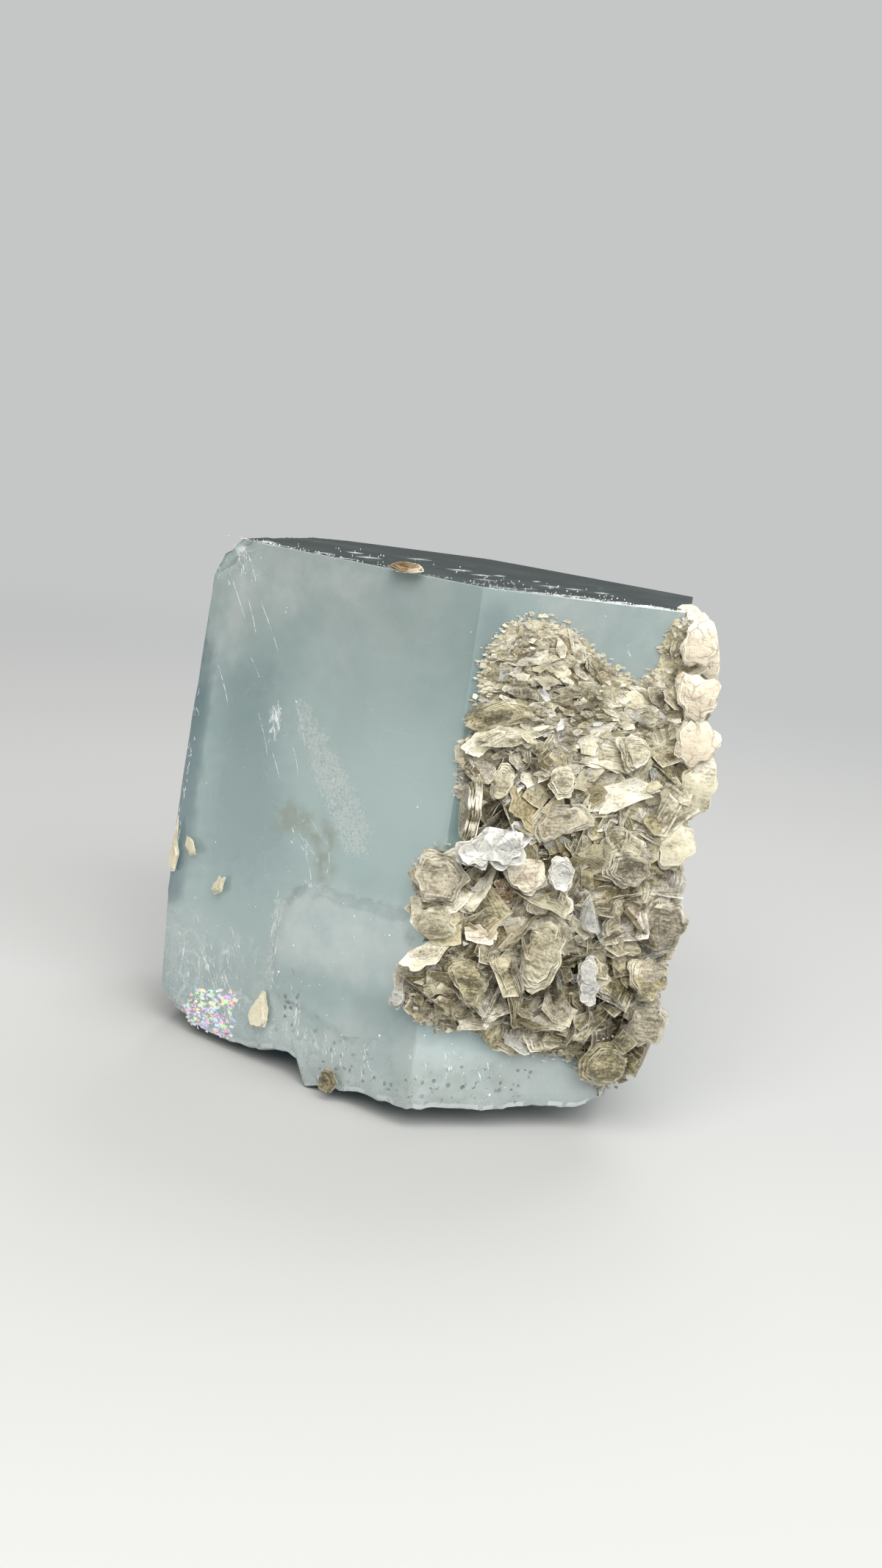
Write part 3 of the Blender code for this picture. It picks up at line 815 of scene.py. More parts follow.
ZONES = (
    Zone("frost", seen((399, 946), (420, 945), (440, 985), (470, 1040), (500, 1100), (505, 1160), (490, 1172),
                       (470, 1165), (452, 1130), (430, 1080), (415, 1030), (400, 985)), 2),
    Zone("frost", seen((370, 955), (384, 952), (392, 985), (395, 1010), (378, 1000)), 1.2, 0.8, 0.3),
    Zone("film", seen((370, 1095), (400, 1092), (440, 1112), (455, 1130), (457, 1180), (450, 1202),
                      (433, 1200), (430, 1150), (400, 1130), (372, 1130)), 1.4, 0.9, 0.5),
    Zone("cloud", ((-20.4, 12), (-19.2, 18.2), (-16, 20.8), (-3, 21.6), (1.2, 18.6), (1, 14.4),
                   (-8, 12.5)), 3, 1, 0.8),
    Zone("cloud", ((-24, 1), (-18, 7), (-6, 9.6), (6, 9.4), (21, 6.5), (21, 0),
                   (-24, -1)), 4, 0.85, 1),
    Zone("break", ((-19, -1), (-18.4, 5), (-12, 5.4), (-9.5, -1)), 2, 0.9, 1),
    Zone("cloud", ((-34.5, 40), (-36.5, 54.5), (-8, 54.5), (-16, 49.5), (-27, 47)), 8, 1, 2),
    Zone("cloud", ((-24, -1), (-24, 3.4), (-17, 5), (-10, 2.4), (-10, -1)), 1.6, 1, 0.8),
    # Painted highlight: a pale band along the growth plate's left and top edges.
    Zone("cloud", ((-20, 17.4), (-17, 20), (-3, 20.6), (-2.6, 19.6), (-16.8, 19), (-19.6, 13),
                   (-20.4, 13)), 0.9, 0.9, 0.5),
    Zone("break", ((-36.5, 11), (-34.4, 13.4), (-25, 12.4), (-20.6, 10), (-19.4, 3), (-23, -1),
                   (-36.5, -1)), 3.4, 1, 1),
    Zone("specks", ((-17.4, 11.4), (-19, 8.2), (-18.3, 4.1), (-16, 4.6), (-15.9, 10)), 1.4, 0.9, 0.4),
    Zone("specks", ((-13, 1.5), (-14, 6), (-6, 5.5), (5.5, 6.2), (6, 3)), 3, 0.7, 1),
    # Painted highlight: white frost along the growth plate's left edge.
    Zone("frost", ((-21.6, 17.6), (-19, 18.6), (-19.6, 13), (-19.3, 8.6), (-21.4, 9)), 0.8, 1, 0.5),
    Zone("frost", ((-18.5, 20.2), (-15.8, 21.1), (-3, 22), (0.8, 19.5), (-3, 21), (-15.8, 20)),
         0.5, 0.55, 0.5),
    Zone("frost", ((-18, 1), (-15, 5), (-2, 7), (12, 7.6), (20, 5), (19, 1)),
         4.0, 0.45, 2.2),
    Zone("film", ((-3, 3.2), (1, 6.4), (8, 6.6), (11, 4), (4, 2)), 3, 0.45, 2),
    Zone("cloud", ((-19, 1), (-18, 6.6), (-13, 7.8), (-8, 5.6), (-4, 1)), 1.8, 0.9, 1.4),
    Zone("cloud", ((2, 1), (4, 5.4), (12, 6.4), (19, 4.4), (20.5, 1)), 2.2, 0.8, 1.4),
    Zone("specks", ((3, 2.8), (5, 6.6), (13, 6.4), (12, 3.2)), 1.6, 0.9, 1.2),
    Zone("frost", ((-24.5, 50), (-30, 53.6), (-36, 53.6), (-36, 47.5), (-31, 48.5)), 2.4, 0.5, 1.6),
    # The deep zones paint darker blue: painted shade for the dark bands and patches that refraction makes,
    # such as the left edge of the front-left face and the left side of the front-right face.
    Zone("deep", ((-33, 40), (-26, 41), (-22, 30), (-20, 22), (-24, 18), (-34, 18)),
         8.0, 0.55, 1.5),
    Zone("deep", ((-37.5, 44), (-34.2, 42), (-33.6, 24.5), (-34.4, 14), (-37.5, 13)), 1.8, 1, 0.5),
    Zone("deep", ((0, 51.4), (1.3, 52.5), (2.6, 52.4), (3.4, 50), (2.9, 30), (0, 30)),
         1.6, 0.35, 0.1),
    Zone("cloud", ((6, 44), (6, 56), (22, 56), (22, 40)), 5, 0.6, 1.5),
    Zone("cloud", ((-20, 40), (-24, 56), (-2, 56), (-4, 45)), 8, 0.45, 2),
    Zone("cloud", ((58, 8), (74, 12), (80, 32), (64, 38)), 8, 0.9, 2),
    Zone("cloud", ((112, 4), (128, 8), (132, 22), (118, 18)), 5, 0.8, 2),
    Zone("cloud", ((40, 44), (52, 50), (70, 54.5), (90, 54.5), (88, 49), (60, 46)),
         5.0, 0.8, 2.0),
    # Two more deep zones: painted shade for the dark of refraction on the faces behind.
    Zone("deep", ((92, 16), (107, 20), (106, 46), (96, 44)), 8, 0.5, 2),
    Zone("deep", ((82.8, 8), (85.4, 8), (85, 50), (82.8, 50)), 1.8, 0.8, 0.3),
    Zone("frost", ((86, 38), (89, 40), (93, 26), (92, 20), (89, 24)), 2, 0.9, 1),
    Zone("film", ((70, 20), (73, 24), (77, 22), (74, 17)), 1.6, 0.8, 0.6),
    Zone("break", ((54, -1), (55, 6), (66, 9), (78, 5), (82, -1)), 3.4, 0.9, 1.5),
    Zone("break", ((104, -1), (106, 6), (114, 8), (122, 4), (126, -1)), 3.4, 0.8, 1.5),
)


@dataclass(frozen=True)
class Chip:
    """A chip broken off the rim, along a plane: a point on it, its heading and how far it leans up."""

    at: tuple[float, float, float]
    heading: float
    lean: float
    depth: float = 0.5

    def facing(self) -> Vector:
        """Unit direction that the break faces."""
        return unit_way(self.heading, self.lean)

    def excess(self, point: Vector) -> float:
        """How far out of the break's plane a point is."""
        return (point - Vector(self.at)).dot(self.facing())

    def trim(self, point: Vector) -> Vector:
        """Move a point of the whole prism in to the break's surface, which is dished like a shell."""
        facing, excess = self.facing(), self.excess(point)
        if excess < -self.depth:
            return point
        flat = point - facing * excess
        dish = ((1.0, 0.34, 3.0), (0.35, 0.9, 8.0), (0.12, 2.6, 5.0))
        shell = sum(share * abs(rough(flat, scale, seed)) for share, scale, seed in dish)
        return point - facing * max(0.0, excess + self.depth * min(1.0, 1.4 * shell))


@dataclass
class CrystalBody:
    """The prism with its growth plate, flat top, broken base, chips and bud, as one closed mesh."""

    cell: float = 0.55
    worn_edge: float = 0.11
    end_rings: int = 30
    rim: tuple[Pair, ...] = (
        (-36, 2.7), (-33.3, 0.9), (-28, 0.7), (-23, 0.9), (-18.2, 2.2), (-16.5, 2.3), (-13.8, 1.6),
        (-11.2, 0.6), (-9.2, 0.7), (-6.6, 1.5), (-2.3, 1.8), (3.8, 2.1), (8.7, 1.8), (13.7, 2.4),
        (18.9, 2.2), (21.6, 3.6), (27, 2.2), (33, 3.4), (39, 1.8), (46, 2.6), (52.8, 4.2),
        (60, 2), (68, 3.1), (76, 1.6), (82.8, 3.5), (90, 2.2), (99, 3.6), (106, 1.9),
        (110.3, 3.8), (118, 2.4), (126, 3.2), (132, 1.4), (135.6, 2.7),
    )
    flare: tuple[Pair, ...] = (
        (0, 0.2), (3, 0.35), (15, 1), (24, 0.95), (32, 0.7), (40, 0.4), (47, 0.1),
        (53.9, 0),
    )
    flare_width: float = 4.0
    plate: Outline = (
        (-20.6, 12.6), (-19.3, 18.2), (-17.6, 20), (-12.6, 20.6), (-8.4, 20.8), (-3.4, 21.2), (-1.6, 17),
        (-2, 9), (-8, 6.2), (-19.2, 8),
    )
    plate_rise: float = 0.35
    patch_share: float = 0.42
    chips: tuple[Chip, ...] = (
        Chip((-24.6, -6.4, 53.9), 200, 33, 0.7),
        Chip((-22.2, 6, 53.9), 167, 48),
        Chip((-19.6, 17.2, 53.9), 140, 40),
        Chip((7, 25.6, 53.9), 60, 58),
        Chip((-27, -6.4, 2.6), 206, -40, 0.9),
    )
    bud_along: float = -14.1
    bud_inset: float = 2.0
    bud_radius: float = 2.7
    bud_ends: Pair = (-0.5, 4.6)
    bud_narrowing: float = 0.68
    bud_lean: float = 20.0
    streak_start: Pair = (9.8, -2.2)
    streak_length: float = 16.0

    def flare_out(self, along: float, height: float) -> float:
        """How far the wall stands out near the left edge."""
        away = min((along - STARTS[0]) % AROUND, (STARTS[6] - along) % AROUND)
        return read_between(self.flare, height) * math.exp(-((away / self.flare_width) ** 2))

    def relief(self, along: float, height: float) -> float:
        """How far the wall's surface stands out of the flat face: growth plate, terraces and swell."""
        where = Vector((along, height, 0.0))
        out = self.flare_out(along, height)
        if -24.0 < along < 1.0 and height < 24.0:
            ragged = 0.5 * rough(where, 0.8) + 0.25 * rough(where, 2.6)
            inside = outline_distance(along, height, self.plate) + ragged
            out += self.plate_rise * smooth(inside / 0.5)
        swell = 0.035 * rough(where, 0.13, 5.0) + 0.015 * rough(where, 0.45, 9.0)
        level = 4.0 * rough(Vector((along * 0.06, height * 0.16, 7.0)), 1.0)
        terrace = 0.018 * (math.floor(level) + smooth((level % 1.0) * 6.0))
        return out + swell + terrace

    def rim_height(self, along: float) -> float:
        """Height of the broken rim of the base, with its small bites."""
        place = PRISM.wrap(along)
        bite = 0.22 * noise.noise(Vector((place * 0.9, 1.0, 0.0)))
        bite += 0.12 * noise.noise(Vector((place * 2.3, 4.0, 0.0)))
        return read_between(self.rim, place) + bite

    def columns(self) -> list[float]:
        """Distances along the faces of the mesh's columns, with a narrow worn strip at each edge."""
        columns = []
        for start, end in zip(STARTS, STARTS[1:]):
            first, last = start + self.worn_edge, end - self.worn_edge
            count = round((last - first) / self.cell)
            columns.extend(first + (last - first) * index / count for index in range(count + 1))
        return columns

    def wall_point(self, along: float, height: float) -> Vector:
        """Point of the wall's real surface, with the edges' wear."""
        nearest = min(STARTS, key=lambda start: abs(start - along))
        off = along - nearest
        if abs(off) < self.worn_edge * 1.5:
            wear = 1.0 + 0.9 * noise.noise(Vector((height * 0.7, nearest, 3.0)))
            along = nearest + off * wear
        foot, outward = PRISM.wall(along)
        low = 0.35 * smooth(1.0 - (height - self.rim_height(along)) / 0.9)
        out = self.relief(along, height) - low * (0.5 + abs(rough(foot, 0.8)))
        return foot + outward * out + Vector((0.0, 0.0, height))

    def ring_heights(self) -> list[float]:
        """Shares of the wall's height, from the rim of the base to the top, of the mesh's rows."""
        count = round(PRISM.top / self.cell)
        return [index / count for index in range(count)] + [1.0 - 0.12 / PRISM.top]

    def inner_ring(self, edge: Sequence[Vector], share: float,
                   height: Callable[[Vector, int], float]) -> list[Vector]:
        """A ring of an end of the prism, drawn in from its edge.

        Args:
            edge: The edge's points.
            share: How far in it is, from 0 at the edge to 1 at the middle.
            height: Gives its height from the flat position and the point's number.

        Returns:
            The ring's points.
        """
        ring = []
        for number, point in enumerate(edge):
            spot = Vector((point.x * (1.0 - share), point.y * (1.0 - share), 0.0))
            spot.z = height(spot, number)
            ring.append(spot)
        return ring

    def base_height(self, share: float, rims: Sequence[float]) -> Callable[[Vector, int], float]:
        """The height of the broken base at a share of the way in.

        Args:
            share: How far in, from 0 at the rim to 1 at the middle.
            rims: The rim's height at each point.

        Returns:
            A function of the flat position and the point's number.
        """
        fade = max(0.0, 1.0 - share / self.patch_share)

        def height(spot: Vector, number: int) -> float:
            lump = 0.5 * noise.noise(spot * 0.35)
            lump += (0.3 * rough(spot, 0.9, 2.0) + 0.12 * rough(spot, 2.4, 6.0)) * min(1.0, 12.0 * share)
            rise = (rims[number] - PRISM.base_level + lump) * fade
            pit = 0.06 * max(0.0, rough(spot, 0.8, 1.0) + 0.5 * rough(spot, 2.2, 4.0))
            return PRISM.base_level + (max(0.08, rise) if fade else pit)

        return height

    def rings(self) -> list[list[Vector]]:
        """Every ring of the mesh, from the middle of the base, up the walls, to the middle of the top."""
        columns = self.columns()
        rims = [self.rim_height(along) for along in columns]
        rows = [[self.wall_point(along, rim + (PRISM.top - rim) * share) for along, rim in zip(columns, rims)]
                for share in self.ring_heights()]
        steps = [(index / self.end_rings) ** 1.25 for index in range(self.end_rings + 1)]
        base = [self.inner_ring(rows[0], share, self.base_height(share, rims))
                for share in (0.012 + 0.965 * step for step in steps)]
        top = [self.inner_ring(rows[-1], share, lambda spot, _: self.top_height(spot))
               for share in (0.004 + 0.97 * step for step in steps)]
        return [*reversed(base), *rows, *top]

    def top_height(self, spot: Vector) -> float:
        """Height of the top: flat, with a faint step along its front rim and low growth hillocks."""
        inside = -max(PRISM.outs(spot))
        front = PRISM.distances[0] - spot.dot(PRISM.normal(0))
        step = 0.05 * smooth((front - 1.3) / 0.3)
        hillock = 0.02 * rough(spot, 0.25, 11.0)
        return PRISM.top - 0.03 + (step + hillock - 0.05) * smooth(inside / 0.5)

    def shape(self) -> tuple[list[Vector], list[tuple[int, ...]]]:
        """The points and the faces of the trimmed mesh."""
        rings = self.rings()
        count = len(rings[0])
        points = [point for ring in rings for point in ring]
        faces = []
        for lower in range(len(rings) - 1):
            for index in range(count):
                after = (index + 1) % count
                start, above = lower * count, (lower + 1) * count
                faces.append((start + index, start + after, above + after, above + index))
        for first, turn in ((0, -1), (len(points) - count, 1)):
            points.append(sum(points[first:first + count], Vector()) / count)
            hub = len(points) - 1
            for index in range(count):
                faces.append((first + index, first + (index + 1) % count, hub)[::turn])
        for index, point in enumerate(points):
            point = self.chipped(point)
            points[index] = Vector((point.x, point.y, max(point.z, PRISM.base_level)))
        return points, faces

    def chipped(self, point: Vector) -> Vector:
        """A point moved in to the surface of the chips."""
        for chip in self.chips:
            point = chip.trim(point)
        return point

    def bud(self) -> bpy.types.Object:
        """The small bud crystal, to be joined on."""
        shape = bmesh.new()
        low, high = self.bud_ends
        bmesh.ops.create_cone(
            shape, cap_ends=True, segments=6, radius1=self.bud_radius * self.bud_narrowing,
            radius2=self.bud_radius, depth=high - low,
        )
        bmesh.ops.bevel(shape, geom=shape.edges[:], offset=0.5, segments=4, profile=0.6, affect="EDGES")
        lean = Matrix.Rotation(math.radians(self.bud_lean), 4, PRISM.normal(0))
        middle = PRISM.point(self.bud_along, (low + high) / 2, -self.bud_inset)
        bmesh.ops.transform(shape, matrix=Matrix.Translation(middle) @ lean, verts=shape.verts[:])
        for vertex in shape.verts:
            vertex.co.z = max(vertex.co.z, low)
            vertex.co = PRISM.to_row(vertex.co)
        mesh = bpy.data.meshes.new("bud")
        shape.to_mesh(mesh)
        shape.free()
        return add_object("bud", mesh)

    def build(self) -> bpy.types.Object:
        """Build the crystal, with its bud joined on."""
        heap = Heap()
        heap.add(*self.shape())
        crystal = heap.make("crystal", "aquamarine", 32.0)
        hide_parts("aquamarine_crystal")
        bud = self.bud()
        join = crystal.modifiers.new("bud", "BOOLEAN")
        join.operation, join.solver, join.object = "UNION", "EXACT", bud
        graph = bpy.context.evaluated_depsgraph_get()
        merged = bpy.data.meshes.new_from_object(crystal.evaluated_get(graph))
        crystal.modifiers.clear()
        crystal.data = merged
        bpy.data.objects.remove(bud, do_unlink=True)
        merged.shade_smooth()
        merged.set_sharp_from_angle(angle=math.radians(28.0))
        self.paint(crystal)
        return crystal

    def paint(self, crystal: bpy.types.Object) -> None:
        """Store the masks that the finishes read."""
        mesh = crystal.data
        places = [PRISM.from_row(vertex.co) for vertex in mesh.vertices]
        masks = {name: [0.0] * len(places) for name in ("frost", "film", "cloud", "break", "specks", "deep")}
        for index, place in enumerate(places):
            along, height, out = PRISM.address(place)
            for chip in self.chips:
                raise_value(masks["break"], index, smooth(1.0 + (chip.excess(place) + 0.2) / 1.2))
            if out > -1.0:
                for zone in ZONES:
                    raise_value(masks[zone.mask], index, zone.value(along, height))
                raise_value(masks["break"], index, 0.6 * smooth(1.0 - (height - 2.2) / 2.6))
            if height > PRISM.top - 0.3:
                self.paint_top(place, masks, index)
        for name, column in masks.items():
            store(mesh, name, column)

    def paint_top(self, place: Vector, masks: dict[str, list[float]], index: int) -> None:
        """Set a top point's masks: a paler right end that is painted light, streaks, and a worn front rim."""
        # Painted light: the right end of the dark-painted top is made paler.
        raise_value(masks["cloud"], index, 0.9 * smooth((place.x - 17.0 - 2.0 * rough(place, 0.3)) / 4.0))
        x, y = place.x - self.streak_start[0], place.y - self.streak_start[1]
        across, along = x * 0.73 - y * 0.68, x * 0.68 + y * 0.73
        streak = smooth(1.3 - abs(across + 0.5 * rough(place, 0.5))) * smooth(along)
        raise_value(masks["cloud"], index, 0.7 * streak * (along < self.streak_length))
        raise_value(masks["cloud"], index, 0.5 * smooth(2.2 * rough(place, 0.16, 3.0)))
        inside = -max(PRISM.outs(place)[:2])
        worn = smooth(1.0 - inside / 2.6) * smooth(0.6 + 1.2 * rough(place, 0.5, 6.0))
        raise_value(masks["frost"], index, 0.75 * worn)

    def dress(self, crystal: bpy.types.Object, groups: Groups) -> None:
        """Give the faces, the top and the broken base their finishes. The top's finish is painted near black,
        a painted dark reflection and shade; the base's is painted paler, partly its real frosted break and
        partly painted light on its shaded underside.
        """
        mesh = crystal.data
        mesh.materials.clear()
        finishes = (
            BerylFinish("beryl_faces"),
            # The top: a copy of the beryl finish painted near black, a painted dark reflection and shade.
            BerylFinish("beryl_top_painted_dark", body=(0.07, 0.09, 0.09), pale=(0.20, 0.23, 0.22), transmission=0.7,
                        roughness=0.1, scratches=0.8),
            # The floor-facing broken base: paler, partly a real frosted break and partly painted light that
            # lifts its shaded underside.
            BerylFinish("beryl_base_painted_light", body=(0.72, 0.80, 0.78), transmission=0.4, roughness=0.3, coat=0.4,
                        relief=0.5),
        )
        for finish in finishes:
            mesh.materials.append(finish.build(groups))
        for face in mesh.polygons:
            height = PRISM.from_row(face.center).z
            flat_top = face.normal.z > 0.9 and height > PRISM.top - 0.5
            face.material_index = 1 if flat_top else 2 if face.normal.z < -0.25 and height < 6.0 else 0


# --------------------------------------------------------------------------------------------------
# The mica
# --------------------------------------------------------------------------------------------------


class Mica(Enum):
    """The kinds of mica, by the record's material slot."""

    CRUST = "mica_crust"
    SILVER = "mica_silver"
    CREAM = "mica_cream"
    PINK = "mica_pink"
    GREY = "mica_grey"
    OLIVE = "mica_olive"
    STAINED = "mica_stained"


MICA_FINISHES = {
    Mica.CRUST: MicaFinish("mica_khaki", (0.14, 0.11, 0.055), (0.58, 0.52, 0.345), 0.25, 0.2, 0.7, 0.35,
                           0.6),
    Mica.SILVER: MicaFinish("mica_bright", (0.15, 0.148, 0.132), (0.47, 0.46, 0.42), 0.03, 0.9, 1.0, 0.0,
                            0.6),
    Mica.CREAM: MicaFinish("mica_cream", (0.19, 0.155, 0.085), (0.64, 0.59, 0.43), 0.12, 0.2, 0.8, 0.6),
    Mica.PINK: MicaFinish("mica_pinkish", (0.23, 0.19, 0.13), (0.64, 0.565, 0.435), 0.06, 1.0, 0.4),
    Mica.GREY: MicaFinish("mica_smoky", (0.12, 0.10, 0.063), (0.55, 0.495, 0.365), 0.12, 0.2, 0.8, 0.6, 0.4),
    Mica.OLIVE: MicaFinish("mica_olive", (0.085, 0.067, 0.028), (0.53, 0.465, 0.275), 0.2, 0.2, 0.8, 0.6,
                           0.3),
    Mica.STAINED: MicaFinish("mica_stained", (0.10, 0.055, 0.022), (0.44, 0.29, 0.14), 0.9, 0.2, 0.6, 0.4),
}


@dataclass(frozen=True)
class Sheet:
    """One thin plate: its middle, its axes (across, up, out), outline, thickness, bends and tint."""

    at: Vector
    axes: Matrix
    outline: Outline
    thick: float
    curl: float
    tint: float
    wave: float = 0.0
    rings: tuple[float, ...] = (0.6, 1.0)
    dome: float = 0.0
    petals: int = 0

    def place(self, across: float, up: float, out: float) -> Vector:
        """A point of the plate, bent by its curl and its waves."""
        bend = self.curl * (across * across - 0.6 * up * up) - self.dome * (across * across + up * up)
        if self.wave:
            spot = Vector((across, up, 9.0 * self.tint))
            bend += self.wave * (noise.noise(spot * 0.55) + 0.45 * noise.noise(spot * 1.5))
        if self.petals:
            angle, phase = math.atan2(up, across), 7.0 * self.tint
            ruffle = math.cos(self.petals * angle + phase)
            ruffle += 0.6 * math.cos((self.petals + 4) * angle + 2.0 * phase)
            bend += 0.07 * math.hypot(across, up) * ruffle
        return self.at + self.axes @ Vector((across, up, out + bend))

    def add_to(self, heap: Heap) -> None:
        """Add the plate's mesh to a heap."""
        count, layers = len(self.outline), len(self.rings)
        points: list[Vector] = []
        flat: list[Pair] = []
        edges: list[float] = []
        faces: list[tuple[int, ...]] = []
        for side in (-1.0, 1.0):
            hub = len(points)
            half = side * self.thick / 2
            flat.append((0.0, 0.0))
            flat.extend((x * ring, y * ring) for ring in self.rings for x, y in self.outline)
            points.extend(self.place(x, y, half) for x, y in flat[hub:])
            edges.extend([0.0, *(ring for ring in self.rings for _ in range(count))])
            for index in range(count):
                after = (index + 1) % count
                first = hub + 1
                fan = (hub, first + index, first + after)
                faces.append(fan if side > 0 else fan[::-1])
                for layer in range(1, layers):
                    inner, outer = first + (layer - 1) * count, first + layer * count
                    band = (inner + index, outer + index, outer + after, inner + after)
                    faces.append(band if side > 0 else band[::-1])
        back = 1 + (layers - 1) * count
        front = back + 1 + layers * count
        for index in range(count):
            after = (index + 1) % count
            faces.append((back + index, back + after, front + after, front + index))
        across, up = ([spot[axis] for spot in flat] for axis in (0, 1))
        heap.add(points, faces, tint=self.tint, edge=edges, across=across, up=up)


def pillow_outline(dice: random.Random, width: float, height: float, corners: int = 26) -> list[Pair]:
    """Outline of a rounded pillow with shallow lobes."""
    swing = dice.uniform(0.0, math.tau)
    outline = []
    for index in range(corners):
        angle = math.tau * index / corners
        across, up = (math.copysign(abs(part) ** 0.8, part) for part in (math.cos(angle), math.sin(angle)))
        lobes = math.sin(3 * angle + swing) + 0.6 * math.sin(7 * angle + 2.0 * swing)
        reach = 0.94 - 0.06 * lobes - dice.uniform(0.0, 0.02)
        outline.append((across * reach * width / 2, up * reach * height / 2))
    return outline


def plate_outline(dice: random.Random, width: float, height: float, corners: int,
                  ragged: float = 0.05) -> list[Pair]:
    """Outline of a mica plate: a few straight sides that meet at corners, with ragged breaks.

    Args:
        dice: The source of chance.
        width: Its width.
        height: Its height.
        corners: About how many points it has.
        ragged: How far its sides wander, as a share of its size.

    Returns:
        The outline's points.
    """
    sides = dice.choice((4, 5, 5, 6))
    swing = dice.uniform(0.0, math.tau)
    main = []
    for index in range(sides):
        angle = swing + math.tau * (index + dice.uniform(-0.3, 0.3)) / sides
        reach = dice.uniform(0.78, 1.0)
        main.append((math.cos(angle) * reach * width / 2, math.sin(angle) * reach * height / 2))
    outline = []
    steps = max(1, corners // sides)
    for start, end in sides_of(main):
        torn = ragged * dice.choice((0.3, 1.0, 2.2))
        for step in range(steps):
            x, y = between(start, end, (step + dice.uniform(-0.3, 0.3) * (step > 0)) / steps)
            shrink = 1.0 + dice.uniform(-torn, torn) * (step > 0)
            outline.append((x * shrink, y * shrink))
    return outline


def shard_outline(dice: random.Random, length: float, width: float) -> list[Pair]:
    """Outline of a splinter with four or five corners."""
    corners = dice.choice((3, 4, 4, 5))
    turn = dice.uniform(0.0, math.tau)
    outline = []
    for index in range(corners):
        angle = turn + math.tau * (index + dice.uniform(-0.3, 0.3)) / corners
        reach = dice.uniform(0.6, 1.0)
        outline.append((math.cos(angle) * reach * length / 2, math.sin(angle) * reach * width / 2))
    return outline


def face_axes(out: Vector, spin: float) -> Matrix:
    """Axes of a plate that faces a direction.

    Args:
        out: The direction it faces.
        spin: Its turn in its own plane, in degrees, to the left as seen from outside.

    Returns:
        A matrix whose columns are across, up and out.
    """
    out = out.normalized()
    across = Vector((0.0, 0.0, 1.0)).cross(out)
    across = across.normalized() if across.length > 0.05 else Vector((1.0, 0.0, 0.0))
    across = Matrix.Rotation(math.radians(spin), 3, out) @ across
    return Matrix((across, out.cross(across), out)).transposed()


def leaning_axes(outward: Vector, tilt: float, direction: float, spin: float) -> Matrix:
    """Axes of a plate that leans away from a wall.

    Args:
        outward: The wall's outward direction.
        tilt: How far the plate's face leans from it, in degrees.
        direction: Which way it leans, in degrees from the right towards up.
        spin: The plate's turn in its own plane, in degrees.

    Returns:
        A matrix whose columns are across, up and out.
    """
    right = Vector((0.0, 0.0, 1.0)).cross(outward)
    lean, way = math.radians(tilt), math.radians(direction)
    side = right * math.cos(way) + Vector((0.0, 0.0, 1.0)) * math.sin(way)
    return face_axes(outward * math.cos(lean) + side * math.sin(lean), spin)


@dataclass(frozen=True)
class Leaf:
    """A large plate on the front-right wall, placed by the pixel where its middle shows.

    Its fields are that spot, how far out of the wall it lies, how far its broad face swings from the
    wall's own heading and leans up, its turn as it shows in the frame, its real size, what it is made
    of, how many sheets it has and its tint.
    """

    spot: Pair
    out: float
    swing: float
    lean: float
    spin: float
    size: Pair
    kind: Mica
    sheets: int
    tint: float

    def at(self) -> tuple[float, float, float]:
        """Distance along the faces, height, and distance out of the wall."""
        return *VIEW.on_wall(self.spot, 1, self.out), self.out

    def heading(self) -> float:
        """Heading of its broad face."""
        return PRISM.first_heading + 360.0 / len(PRISM.distances) + self.swing

    def turn(self) -> float:
        """Its turn in its own plane, from level."""
        return self.spin + VIEW.roll

    def facing(self) -> Vector:
        """Unit direction that its broad face looks to."""
        return unit_way(self.heading(), self.lean)


@dataclass(frozen=True)
class FinLeaf(Leaf):
    """A leaf on the crust's right edge: out is its depth behind the prism's edge, swing its heading."""

    def at(self) -> tuple[float, float, float]:
        """Distance along the faces, height, and distance out of the right wall."""
        point = VIEW.meet(self.spot, Vector((0.0, 1.0, 0.0)), PRISM.corner(1).y + self.out)
        return PRISM.along(point, 2), point.z, PRISM.outs(point)[2]

    def heading(self) -> float:
        """Heading of its broad face."""
        return self.swing


@dataclass(frozen=True)
class PlacedLeaf(Leaf):
    """A leaf whose spot is its distance along the faces and its height, and whose swing is its heading."""

    def at(self) -> tuple[float, float, float]:
        """Distance along the faces, height, and distance out of the wall."""
        return *self.spot, self.out

    def heading(self) -> float:
        """Heading of its broad face."""
        return self.swing

    def turn(self) -> float:
        """Its turn in its own plane, from level."""
        return self.spin


